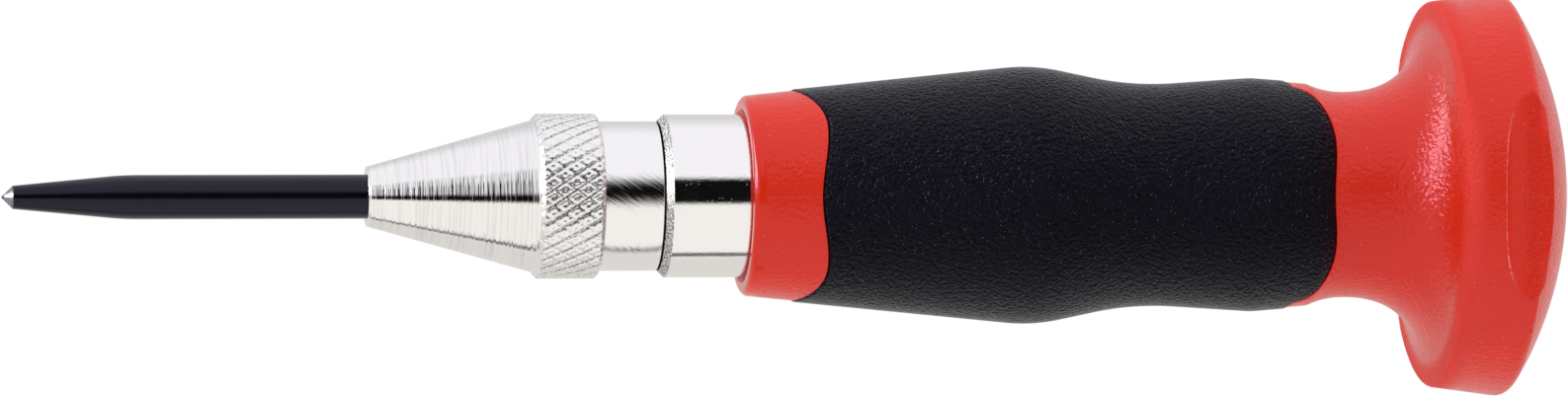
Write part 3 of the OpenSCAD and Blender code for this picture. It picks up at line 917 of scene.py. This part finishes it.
def bump(height, distance, normal=None):
    """Normal of a Bump node over a height, with its depth in metres."""
    inputs = {"Height": height, "Distance": distance, "Strength": 1.0}
    if normal is not None:
        inputs["Normal"] = normal
    return put(height.id_data, "ShaderNodeBump", inputs).outputs["Normal"]


def new_group(name, inputs, outputs):
    """A shader node group with float inputs and outputs, and the sockets of its input and output nodes."""
    tree = bpy.data.node_groups.new(name, "ShaderNodeTree")
    for title, default in inputs.items():
        socket = tree.interface.new_socket(name=title, in_out="INPUT", socket_type="NodeSocketFloat")
        socket.default_value = default
    for title in outputs:
        tree.interface.new_socket(name=title, in_out="OUTPUT", socket_type="NodeSocketFloat")
    return tree, put(tree, "NodeGroupInput").outputs, put(tree, "NodeGroupOutput")


def feed(node, **values):
    """Links values to a node's inputs, by their names."""
    for key, value in values.items():
        node.id_data.links.new(value, node.inputs[key.replace("_", " ")])


def grain_group():
    """Moulded grain: a fine uneven height, a broad cloud, and sparse specks, each at its own size. A speck
    is the middle of a cell, in the share of the cells whose random colour is low."""
    speck_edge = (0.05, 0.14)
    tree, given, out = new_group(
        "Moulded grain",
        {"Grain size": 0.3 * MM, "Cloud size": 4 * MM, "Speck spacing": 1 * MM, "Speck share": 0.1},
        ["Height", "Cloud", "Speck"],
    )
    place = object_place(tree)
    height = noise(place, over(1.0, given["Grain size"]), detail=1.5)
    cloud = noise(place, over(1.0, given["Cloud size"]), detail=3.0)
    spacing = over(1.0, given["Speck spacing"])
    cells = put(tree, "ShaderNodeTexVoronoi", {"Vector": place, "Scale": spacing}).outputs
    chosen = put(tree, "ShaderNodeSeparateColor", {"Color": cells["Color"]}).outputs[0]
    kept = maths("LESS_THAN", chosen, given["Speck share"])
    feed(out, Height=height, Cloud=cloud, Speck=times(kept, fade(cells["Distance"], *speck_edge)))
    return tree


def marks_group():
    """Tool marks: uneven lines round the axis, leaning by a given rise along it, and a broad cloud. The
    lines are a noise that is stretched across the axis."""
    stretch = 60.0
    tree, given, out = new_group(
        "Tool marks", {"Pitch": 0.1 * MM, "Lean": 0.0, "Cloud size": 3 * MM}, ["Height", "Cloud"]
    )
    place = object_place(tree)
    at = split(place)
    along = over(plus(at["X"], times(at["Z"], given["Lean"])), given["Pitch"])
    across = times(given["Pitch"], stretch)
    sides = {"X": along, "Y": over(at["Y"], across), "Z": over(at["Z"], across)}
    stretched = put(tree, "ShaderNodeCombineXYZ", sides).outputs[0]
    lines = noise(stretched, scale=1.0, detail=3.0, roughness=0.6)
    feed(out, Height=lines, Cloud=noise(place, over(1.0, given["Cloud size"]), detail=3.0))
    return tree


def band_group():
    """Two masks along the axis, one in front of a place and one between two places, both with a soft edge,
    and the distance from the axis."""
    tree, given, out = new_group(
        "Axis bands", {"First": 0.0, "Last": 10 * MM, "Edge": 0.05 * MM}, ["Before", "Between", "Radius"]
    )
    at = split(object_place(tree))
    past_first, past_last = (
        maths("ADD", over(minus(at["X"], given[title]), given["Edge"]), 0.5, clamp=True)
        for title in ("First", "Last")
    )
    between = maths("SUBTRACT", past_first, past_last, clamp=True)
    feed(out, Before=remainder(past_first), Between=between, Radius=off_axis(at))
    return tree


def placed(tree, name, **inputs):
    """Outputs of a group node in a material, with the group built on first use."""
    makers = {"Moulded grain": grain_group, "Tool marks": marks_group, "Axis bands": band_group}
    group = bpy.data.node_groups.get(name) or makers[name]()
    plain = {key.replace("_", " "): value for key, value in inputs.items()}
    return put(tree, "ShaderNodeGroup", plain, node_tree=group).outputs


def finish(name, **plain):
    """A new material, its tree and its Principled BSDF, whose plain values are set on its own sockets."""
    material = bpy.data.materials.new(name)
    material.use_nodes = True
    shader = material.node_tree.nodes["Principled BSDF"]
    for key, value in plain.items():
        shader.inputs[key.replace("_", " ")].default_value = value
    return material, material.node_tree, shader


# Finishes

def crease_highlight_mask(tree, s, head):
    """Mask of the highlight painted on the crease in front of the flats: it is one where the side's distance
    from the middle plane is the run-out's and the radius is the rim's. It fades close by and towards its
    ends."""
    line_edge = (0.08 * MM, 0.2 * MM)
    line_ends = (5.5 * MM, 8.5 * MM)
    rim_x = rim_front(s)
    rim_slope = (head.back_d - head.front_d) / 2 / head.rim_len
    at = split(object_place(tree))
    lead = minus(rim_x + head.flat_start + head.flat_runout, at["X"])
    depth = most(minus(head.flat_runout ** 2, times(lead, lead)), 0.0)
    plane = minus(FLAT_Y + head.flat_runout, maths("SQRT", depth))
    rim_r = plus(times(at["X"], rim_slope), head.front_d / 2 - rim_x * rim_slope)
    off_plane = apart(maths("ABSOLUTE", at["Y"]), plane)
    off_rim = apart(off_axis(at), rim_r)
    return times(fade(most(off_plane, off_rim), *line_edge), fade(maths("ABSOLUTE", at["Z"]), *line_ends))


def red_plastic(s, head, f):
    """Moulded red plastic: spark grain, a slight cloud in the colour and sparse pale specks. The collar's
    lip is smoother, the rim's front edge is matt, and a pale dotted highlight is painted along the crease of
    the flats."""
    roughness = (0.19, 0.23)
    cloud_shade = 0.93
    speck_pale = 0.45
    # Where the grain lets the painted highlight on the crease show, and how pale it is.
    crease_highlight_at = (0.4, 0.6)
    crease_highlight_pale = (0.1, 0.6)
    rim_outside = (15 * MM, 16.6 * MM)
    rim_len = 1.3 * MM
    rim_matt = 0.4
    lip_len = 1.1 * MM
    lip_gloss = 0.12
    lip_smooth = 0.85
    grain_depth = 0.12 * MM
    material, tree, shader = finish(
        "red_plastic", Specular_IOR_Level=0.37, Specular_Tint=(0.82, 0.75, 0.95, 1.0)
    )
    grain = placed(
        tree,
        "Moulded grain",
        Grain_size=f.red_grain,
        Cloud_size=5 * MM,
        Speck_spacing=0.55 * MM,
        Speck_share=0.2,
    )
    deep = mix(grain["Cloud"], f.red, shaded(f.red, cloud_shade))
    # Painted highlight: a pale dotted line along the crease in front of the flats, for the light the edge
    # catches.
    painted_light = times(crease_highlight_mask(tree, s, head), ramp(grain["Height"], *crease_highlight_at, *crease_highlight_pale))
    # Pale specks of the grain, and the painted highlight on the crease.
    pale = most(times(grain["Speck"], speck_pale), painted_light)
    rim = placed(tree, "Axis bands", First=rim_front(s) + rim_len, Edge=1.6 * MM)
    matt = times(times(rim["Before"], ramp(rim["Radius"], *rim_outside)), rim_matt)
    lip = placed(tree, "Axis bands", First=HANDLE_X + lip_len, Edge=0.4 * MM)["Before"]
    gloss = minus(ramp(grain["Cloud"], *NOISE_SPREAD, *roughness), times(lip, lip_gloss))
    height = times(grain["Height"], remainder(times(lip, lip_smooth)))
    feed(
        shader,
        Base_Color=mix(pale, deep, f.red_speck_and_highlight),
        Roughness=plus(gloss, matt),
        Normal=bump(height, grain_depth),
    )
    return material


def black_grip(f):
    """Soft black grip: pebbled grain, glossier crests and light specks."""
    roughness = (0.2, 0.15)
    speck_pale = 0.8
    grain_depth = 0.4 * MM
    material, tree, shader = finish(
        "black_grip",
        Specular_IOR_Level=0.12,
        Specular_Tint=(0.7, 0.7, 1.0, 1.0),
        Sheen_Weight=0.018,
        Sheen_Roughness=0.4,
        Sheen_Tint=(0.5, 0.5, 1.0, 1.0),
    )
    grain = placed(
        tree,
        "Moulded grain",
        Grain_size=f.black_grain,
        Cloud_size=6 * MM,
        Speck_spacing=0.36 * MM,
        Speck_share=0.4,
    )
    feed(
        shader,
        Base_Color=mix(times(grain["Speck"], speck_pale), f.black, f.black_pale),
        Roughness=ramp(grain["Height"], *NOISE_SPREAD, *roughness),
        Normal=bump(grain["Height"], grain_depth),
    )
    return material


def black_steel(s, f):
    """Blackened point: satin oxide with light specks, and a bare ground tip with its grinding marks."""
    roughness = (0.24, 0.16)
    oxide_speck = (0.05, 0.05, 0.06, 1.0)
    speck_pale = 0.5
    ground_mark = (0.2, 0.2, 0.21, 1.0)
    mark_edge = (0.35, 0.65)
    grain_depth = 0.008 * MM
    mark_depth = 0.004 * MM
    material, tree, shader = finish(
        "black_steel", Specular_IOR_Level=0.42, Specular_Tint=(0.7, 0.7, 1.0, 1.0)
    )
    tip = placed(tree, "Axis bands", First=POINT_X + s.tip_len, Edge=0.1 * MM)["Before"]
    marks = placed(tree, "Tool marks", Pitch=0.12 * MM, Cloud_size=1.2 * MM)["Height"]
    grain = placed(tree, "Moulded grain", Grain_size=0.12 * MM, Speck_spacing=0.6 * MM, Speck_share=0.1)
    oxide = mix(times(grain["Speck"], speck_pale), f.oxide, oxide_speck)
    bare = mix(ramp(marks, *mark_edge), f.bare_steel, ground_mark)
    feed(
        shader,
        Base_Color=mix(tip, oxide, bare),
        Metallic=tip,
        Roughness=ramp(grain["Height"], *NOISE_SPREAD, *roughness),
        Normal=bump(marks, mark_depth, bump(grain["Height"], grain_depth)),
    )
    return material


def turned_plating(s, f):
    """Plated nose: turning marks and painted darker streaks on the cone that stand for reflections of the
    dark gap, leaning polish marks on the neck, grooves of the ring darkened by grime and painted shade,
    painted shade in the corner behind the ring, and a spigot painted dark as shade in the gap."""
    roughness = (0.04, 0.08)
    ring_rough = 0.14
    dark_rough = 0.3
    undarkened_share = 0.3
    groove_dark_edge = (0.35, 0.6)
    darkening_share = 0.9
    streak_edge = (0.42, 0.66)
    streak_shade = 0.87
    cone_marks = 10.0
    neck_marks = 1.6
    ring_speckle = 4.0
    plain_speckle = 0.25
    mark_depth = 0.01 * MM
    hair = 0.02 * MM
    corner_len = 0.07 * MM
    corner_r = (KNURL_R - 0.4 * MM, KNURL_R - 0.3 * MM)
    material, tree, shader = finish("turned_plating", Metallic=1.0)
    cone_x, knurl_x, neck_x = nose_places(s)
    cone = placed(tree, "Axis bands", First=cone_x, Last=knurl_x, Edge=hair)
    corner = placed(tree, "Axis bands", First=knurl_x - hair, Last=knurl_x + corner_len, Edge=0.05 * MM)
    ring = placed(
        tree, "Axis bands", First=cone_x + s.knurl_bevel, Last=knurl_x - s.knurl_bevel, Edge=0.2 * MM
    )["Between"]
    ahead = placed(tree, "Axis bands", First=neck_x - hair, Edge=0.03 * MM)["Before"]
    marks = placed(tree, "Tool marks", Pitch=0.36 * MM, Cloud_size=2.5 * MM)
    polish = placed(tree, "Tool marks", Pitch=0.18 * MM, Lean=1.4, Cloud_size=0.2 * MM)
    fine = placed(tree, "Tool marks", Pitch=0.16 * MM)["Height"]
    low = ramp(cone["Radius"], KNURL_R - s.knurl_depth, KNURL_R - undarkened_share * s.knurl_depth)
    # Grooves of the ring darker towards their bottoms: grime together with painted shade.
    groove = times(ring, times(remainder(low), ramp(polish["Cloud"], *groove_dark_edge)))
    # Painted shade: the corner behind the ring, and the spigot and the neck's rear face behind the neck, are
    # painted dark as shade in the gaps.
    dark = most(times(corner["Between"], fade(corner["Radius"], *corner_r)), remainder(ahead))
    # Painted reflection: darker streaks on the cone stand for the dark gap mirrored in its turning marks.
    reflection_streak = times(ramp(fine, *streak_edge), cone["Before"])
    reflection_streaked = mix(reflection_streak, f.plating, shaded(f.plating, streak_shade))
    # Streaked plating, with the grooves darkened by grime and painted shade.
    painted_light = mix(times(groove, darkening_share), reflection_streaked, f.shade_and_grime)
    smooth = ramp(marks["Cloud"], *NOISE_SPREAD, *roughness)
    rough = plus(smooth, times(cone["Between"], ring_rough))
    on_cone = times(marks["Height"], cone["Before"])
    on_neck = times(polish["Height"], remainder(most(cone["Before"], cone["Between"])))
    height = plus(times(on_cone, cone_marks), times(on_neck, neck_marks))
    speckle = times(polish["Cloud"], plus(times(ring, ring_speckle), plain_speckle))
    feed(
        shader,
        Base_Color=mix(times(dark, darkening_share), painted_light, f.shade_and_grime),
        Roughness=plus(rough, times(dark, dark_rough)),
        Normal=bump(plus(height, speckle), mark_depth),
    )
    return material


def bright_plating(s, f):
    """Plated barrel: bright, with a fine speckle, a grey tumbled bevel and a front face painted dark as
    shade in its gap.
    """
    roughness = (0.05, 0.09)
    pit_rough = 0.5
    bevel_rough = 0.4
    tumbled_dark = (0.16, 0.155, 0.16, 1.0)
    tumbled_pale = (0.8, 0.79, 0.79, 1.0)
    tumbled_edge = (0.38, 0.6)
    mark_share = 0.2
    speckle_depth = 0.004 * MM
    face_len = 0.03 * MM
    material, tree, shader = finish("bright_plating", Metallic=1.0)
    bevel = placed(tree, "Axis bands", First=BARREL_X + s.bevel, Edge=0.05 * MM)["Before"]
    # Painted shade: the front face, in the gap behind the nose's neck, is painted dark.
    face = placed(tree, "Axis bands", First=BARREL_X + face_len, Edge=face_len)["Before"]
    speckle = placed(
        tree,
        "Moulded grain",
        Grain_size=0.22 * MM,
        Cloud_size=0.16 * MM,
        Speck_spacing=0.4 * MM,
        Speck_share=0.7,
    )
    marks = placed(tree, "Tool marks", Pitch=0.06 * MM, Lean=0.4, Cloud_size=2 * MM)
    tumbled = mix(ramp(speckle["Cloud"], *tumbled_edge), tumbled_dark, tumbled_pale)
    smooth = ramp(marks["Cloud"], *NOISE_SPREAD, *roughness)
    pitted = plus(smooth, times(speckle["Speck"], pit_rough))
    height = plus(speckle["Height"], times(marks["Height"], mark_share))
    feed(
        shader,
        Base_Color=mix(face, mix(bevel, f.plating, tumbled), f.shade_and_grime),
        Roughness=plus(pitted, times(bevel, bevel_rough)),
        Normal=bump(height, speckle_depth),
    )
    return material


def inner_metal(name, base, marks_pitch, roughness):
    """Turned inner metal: tool marks in the surface and a slight cloud in the colour."""
    cloud_shade = 0.7
    uneven = 0.07
    mark_depth = 0.006 * MM
    material, tree, shader = finish(name, Metallic=1.0)
    marks = placed(tree, "Tool marks", Pitch=marks_pitch, Cloud_size=1.5 * MM)
    feed(
        shader,
        Base_Color=mix(ramp(marks["Cloud"], *NOISE_SPREAD), base, shaded(base, cloud_shade)),
        Roughness=ramp(marks["Height"], *NOISE_SPREAD, roughness - uneven, roughness + uneven),
        Normal=bump(marks["Height"], mark_depth),
    )
    return material


def seal_rubber(f):
    """Black rubber of the sealing ring, with a fine dust in its colour."""
    roughness = (0.55, 0.7)
    dust_at = (0.4, 0.8)
    dust_pale = 3
    grain_depth = 0.01 * MM
    material, tree, shader = finish("seal_rubber", Specular_IOR_Level=0.4)
    grain = placed(tree, "Moulded grain", Grain_size=0.1 * MM, Cloud_size=0.8 * MM)
    feed(
        shader,
        Base_Color=mix(ramp(grain["Cloud"], *dust_at), f.rubber, shaded(f.rubber, dust_pale)),
        Roughness=ramp(grain["Height"], *NOISE_SPREAD, *roughness),
        Normal=bump(grain["Height"], grain_depth),
    )
    return material


# Studio

def dark_gap(across, tilt):
    """Mask of the dark gap in front of the tool, by the direction's part along the tool and its tilt. Its
    upper edge is low on the left, rises where the cone mirrors it, and then falls to the height that the
    barrel mirrors. It fades at both ends."""
    soft = math.radians(3.5)
    low = math.radians(-10)
    top_left = math.radians(4)
    top_cone = math.radians(44)
    top_right = math.radians(25.5)
    cone_first = (-0.46, -0.34)
    cone_last = (-0.28, -0.16)
    left_end = (-0.85, -0.7)
    right_end = (0.55, 0.7)
    raised = ramp(across, *cone_first, top_left, top_cone)
    top_edge = minus(raised, ramp(across, *cone_last, 0.0, top_cone - top_right))
    below_top = maths("ADD", over(minus(top_edge, tilt), 2 * soft), 0.5, clamp=True)
    gap = times(ramp(tilt, low - soft, low + soft), below_top)
    return times(times(gap, ramp(across, *left_end)), fade(across, *right_end))


def tent_shade(at, tilt):
    """Share of white that mirrors see in each direction: less in the gap, in a thin seam below, at the back
    and low on the right."""
    gap_dark = 0.995
    seam_at = math.radians(-91)
    seam_half = math.radians(5.5)
    seam_core = 0.4
    seam_dark = 0.8
    above_back = (math.radians(105), math.radians(150))
    above_dark = 0.28
    below_back = (math.radians(-104), math.radians(-86))
    below_dark = 0.21
    right_side = (0.6, 0.8)
    right_height = (0.1, 0.4)
    right_dark = 0.6
    seam = ramp(apart(tilt, seam_at), seam_half * seam_core, seam_half, seam_dark, 0.0)
    dark = most(times(dark_gap(at["X"], tilt), gap_dark), seam)
    behind = most(ramp(tilt, *above_back, 0.0, above_dark), ramp(tilt, *below_back, below_dark, 0.0))
    low_right = times(ramp(at["X"], *right_side), fade(at["Z"], *right_height))
    shade = times(remainder(dark), remainder(behind))
    return times(shade, remainder(times(low_right, right_dark)))


def tent(s):
    """World: even light for matt surfaces, less from the front, white for the camera, and for reflections a
    white tent with shaded parts and a bright strip on the left."""
    strip_at = math.radians(-96)
    strip_edge = (0.35, 0.6)
    strip_z = 0.24
    strip_z_edge = (0.04, 0.2)
    front_less = 0.6
    warm_below = (0.95, 0.92, 0.88, 1.0)
    cool_above = (0.965, 0.955, 0.985, 1.0)
    tint_edge = (-0.1, 0.1)
    world = bpy.data.worlds.new("tent")
    bpy.context.scene.world = world
    world.use_nodes = True
    world.cycles.sampling_method = "NONE"
    tree = world.node_tree
    tree.nodes.clear()
    at = split(put(tree, "ShaderNodeTexCoord").outputs["Generated"])
    toward = times(at["Y"], -1.0)
    tilt = maths("ARCTAN2", at["Z"], toward)
    heading = maths("ARCTAN2", at["X"], toward)
    strip = times(fade(apart(heading, strip_at), *strip_edge), fade(apart(at["Z"], strip_z), *strip_z_edge))
    lit = plus(tent_shade(at, tilt), times(strip, s.key))
    sides = times(remainder(times(times(toward, toward), front_less)), s.fill)
    tint = mix(ramp(tilt, *tint_edge), warm_below, cool_above)
    mirrored, even, white = (
        put(tree, "ShaderNodeBackground", {"Color": rgb, "Strength": strength}).outputs[0]
        for rgb, strength in ((tint, lit), (WHITE, sides), (WHITE, 1.0))
    )
    rays = put(tree, "ShaderNodeLightPath").outputs
    glossy = put(tree, "ShaderNodeMixShader", {0: rays["Is Glossy Ray"], 1: even, 2: mirrored}).outputs[0]
    seen = most(rays["Is Camera Ray"], rays["Is Transmission Ray"])
    final = put(tree, "ShaderNodeMixShader", {0: seen, 1: glossy, 2: white}).outputs[0]
    put(tree, "ShaderNodeOutputWorld", {"Surface": final})


def aimed(name, data, aim, azimuth, elevation, distance):
    """A lamp or camera that faces a point: its place is the point plus a direction times the distance."""
    made = bpy.data.objects.new(name, data)
    bpy.context.scene.collection.objects.link(made)
    flat = math.cos(elevation)
    away = Vector((math.sin(azimuth) * flat, -math.cos(azimuth) * flat, math.sin(elevation)))
    made.location = aim + away * distance
    made.rotation_mode = "QUATERNION"
    made.rotation_quaternion = (-away).to_track_quat("-Z", "Y")
    return made


def softbox(s):
    """A broad softbox overhead, whose power follows from its brightness and its area. Mirrors show the white
    tent in its place."""
    width = 0.9
    depth = 0.6
    azimuth = math.radians(20)
    elevation = math.radians(72)
    distance = 0.7
    lamp = bpy.data.lights.new("overhead", "AREA")
    lamp.shape = "RECTANGLE"
    lamp.size = width
    lamp.size_y = depth
    lamp.energy = s.top * math.pi * width * depth
    made = aimed("overhead", lamp, Vector((s.aim_x, 0, 0)), azimuth, elevation, distance)
    made.visible_glossy = False


def pale_floor(s):
    """Floor: a flat disc under the tool, as rings about its middle. It fades out towards its edge, takes the
    tool's shadow, and mirrors don't show it."""
    pale = (0.8, 0.8, 0.8, 1.0)
    paler = (0.82, 0.82, 0.82, 1.0)
    fade_from = 0.3
    columns = 64
    middle = (s.aim_x, 0, s.floor_z)
    rings = np.linspace(0.25, 1, 4)[:, None] * s.floor_r
    back = -even_turn(columns)
    flat = np.broadcast_arrays(s.aim_x + rings * np.cos(back), rings * np.sin(back), s.floor_z)
    made = bpy.data.objects.new("floor", skin("floor_disc", np.stack(flat, -1), start=middle))
    bpy.context.scene.collection.objects.link(made)
    material, tree, shader = finish("pale_floor", Roughness=0.9, Specular_IOR_Level=0.0)
    place = object_place(tree)
    away = put(tree, "ShaderNodeVectorMath", {0: place, 1: middle}, operation="DISTANCE").outputs["Value"]
    feed(
        shader,
        Base_Color=mix(noise(place, scale=9.0, detail=2.0), pale, paler),
        Alpha=fade(away, fade_from * s.floor_r, s.floor_r),
    )
    made.data.materials.append(material)
    made.visible_glossy = False
    made.visible_diffuse = False


def photo_camera(s):
    """The camera at the photograph's viewing angle."""
    data = bpy.data.cameras.new("camera")
    data.sensor_width = 36.0
    data.lens = s.lens
    data.clip_start = 0.01
    data.clip_end = 50.0
    aim = Vector((s.aim_x, 0, s.aim_z))
    bpy.context.scene.camera = aimed("camera", data, aim, s.azimuth, s.elevation, s.distance)


# Operators

class MakePoint(bpy.types.Operator):
    """Build the black point with its ground tip"""

    bl_idname = "punch.make_point"
    bl_label = "Point"

    def execute(self, context):
        """The point rides with the drive pin."""
        s = context.scene.punch
        piece("black_point", point_surface(s.point), black_steel(s.point, s.finishes), "punch_point")
        return {"FINISHED"}


class MakeNose(bpy.types.Operator):
    """Build the turned nose with its knurl and thread, and the sealing ring on it"""

    bl_idname = "punch.make_nose"
    bl_label = "Nose and seal"

    def execute(self, context):
        """The nose turns while it advances, and the seal only advances."""
        s = context.scene.punch
        piece("turned_nose", nose_surface(s.nose), turned_plating(s.nose, s.finishes), "nose_cone")
        piece("sealing_ring", seal_surface(), seal_rubber(s.finishes), "nose_o_ring")
        return {"FINISHED"}


class MakeBarrel(bpy.types.Operator):
    """Build the plated barrel with its stepped bore"""

    bl_idname = "punch.make_barrel"
    bl_label = "Barrel"

    def execute(self, context):
        """The barrel is fixed in the handle."""
        s = context.scene.punch
        piece("plated_barrel", barrel_surface(s.barrel), bright_plating(s.barrel, s.finishes), "barrel")
        return {"FINISHED"}


class MakeHandle(bpy.types.Operator):
    """Build the red handle with its head, and the soft black grip round it"""

    bl_idname = "punch.make_handle"
    bl_label = "Handle and grip"

    def execute(self, context):
        """The grip lies in the handle's pocket."""
        s = context.scene.punch
        red = red_plastic(s.handle, s.head, s.finishes)
        piece("red_handle", handle_surface(s.handle, s.head), red, "handle_core")
        piece("soft_grip", grip_surface(s.handle), black_grip(s.finishes), "grip_sleeve")
        return {"FINISHED"}


class MakeSprings(bpy.types.Operator):
    """Build the three coil springs"""

    bl_idname = "punch.make_springs"
    bl_label = "Springs"

    def execute(self, context):
        """Each spring rides on its node's body with a mesh of its own."""
        s = context.scene.punch
        wire = inner_metal("spring_steel", s.finishes.wire, marks_pitch=0.2 * MM, roughness=0.3)
        for node, joint, size, turns in (
            ("return_spring", "punch_slide", s.springs.return_wire, s.springs.return_turns),
            ("main_spring", "hammer_slide", s.springs.main_wire, s.springs.main_turns),
        ):
            first, last, outer_r = span(node)
            mesh = coil_surface(node + "_wire", first, last, outer_r - size / 2, size, turns)
            made = piece(node + "_coil", mesh, wire, node)
            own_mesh(made)
        low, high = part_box("sear_spring")
        size = s.springs.sear_wire
        mean_r = high.y - size / 2
        mesh = coil_surface("sear_spring_wire", low.z, high.z, mean_r, size, s.springs.sear_turns, SEAR_X)
        made = piece("sear_spring_coil", mesh, wire, "sear_spring")
        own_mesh(made)
        return {"FINISHED"}


class FinishInside(bpy.types.Operator):
    """Give the steel and brass pieces of the mechanism their finishes"""

    bl_idname = "punch.finish_inside"
    bl_label = "Mechanism"

    def execute(self, context):
        """The packed solids of these pieces stay, with new materials."""
        f = context.scene.punch.finishes
        made = {
            "plain_steel": inner_metal("plain_steel", f.steel, marks_pitch=0.12 * MM, roughness=0.3),
            "bush_brass": inner_metal("bush_brass", f.brass, marks_pitch=0.15 * MM, roughness=0.28),
        }
        for node, slot in SLOTS.items():
            if slot in made:
                materials = frame["nodes"][node].data.materials
                materials.clear()
                materials.append(made[slot])
        return {"FINISHED"}


class MakeStage(bpy.types.Operator):
    """Set up the background, the lamps and the camera"""

    bl_idname = "punch.make_stage"
    bl_label = "Studio"

    def execute(self, context):
        """A white tent with a dark gap at the camera, a bright strip on the left and a softbox overhead."""
        context.scene.view_settings.view_transform = "Standard"
        studio = context.scene.punch.studio
        for make in (tent, softbox, pale_floor, photo_camera):
            make(studio)
        return {"FINISHED"}


class PunchPanel(bpy.types.Panel):
    """Lists the settings and the operators in the sidebar"""

    bl_idname = "VIEW3D_PT_punch"
    bl_label = "Automatic Center Punch"
    bl_space_type = "VIEW_3D"
    bl_region_type = "UI"
    bl_category = "Punch"

    def draw(self, context):
        """One box of settings for each group, then the operators."""
        settings = context.scene.punch
        for title, kind in SETTING_GROUPS.items():
            box = self.layout.box()
            box.label(text=kind.__doc__)
            for key in kind.__annotations__:
                box.prop(getattr(settings, title), key)
        for kind in OPERATORS:
            self.layout.operator(kind.bl_idname)


SETTING_GROUPS = {
    "point": PointSizes,
    "nose": NoseSizes,
    "barrel": BarrelSizes,
    "handle": HandleSizes,
    "head": HeadSizes,
    "springs": SpringSizes,
    "finishes": Finishes,
    "studio": Studio,
}
OPERATORS = [MakePoint, MakeNose, MakeBarrel, MakeHandle, MakeSprings, FinishInside, MakeStage]
CLASSES = [*SETTING_GROUPS.values(), PunchSettings, *OPERATORS, PunchPanel]


def register():
    """Registers the classes and hangs the settings on the scene."""
    for kind in CLASSES:
        bpy.utils.register_class(kind)
    bpy.types.Scene.punch = bpy.props.PointerProperty(type=PunchSettings)


def unregister():
    """Takes the settings and the classes away again."""
    del bpy.types.Scene.punch
    for kind in reversed(CLASSES):
        bpy.utils.unregister_class(kind)


def main():
    register()
    bpy.ops.punch.make_point()
    bpy.ops.punch.make_nose()
    bpy.ops.punch.make_barrel()
    bpy.ops.punch.make_handle()
    bpy.ops.punch.make_springs()
    bpy.ops.punch.finish_inside()
    bpy.ops.punch.make_stage()


if __name__ == "__main__":
    main()
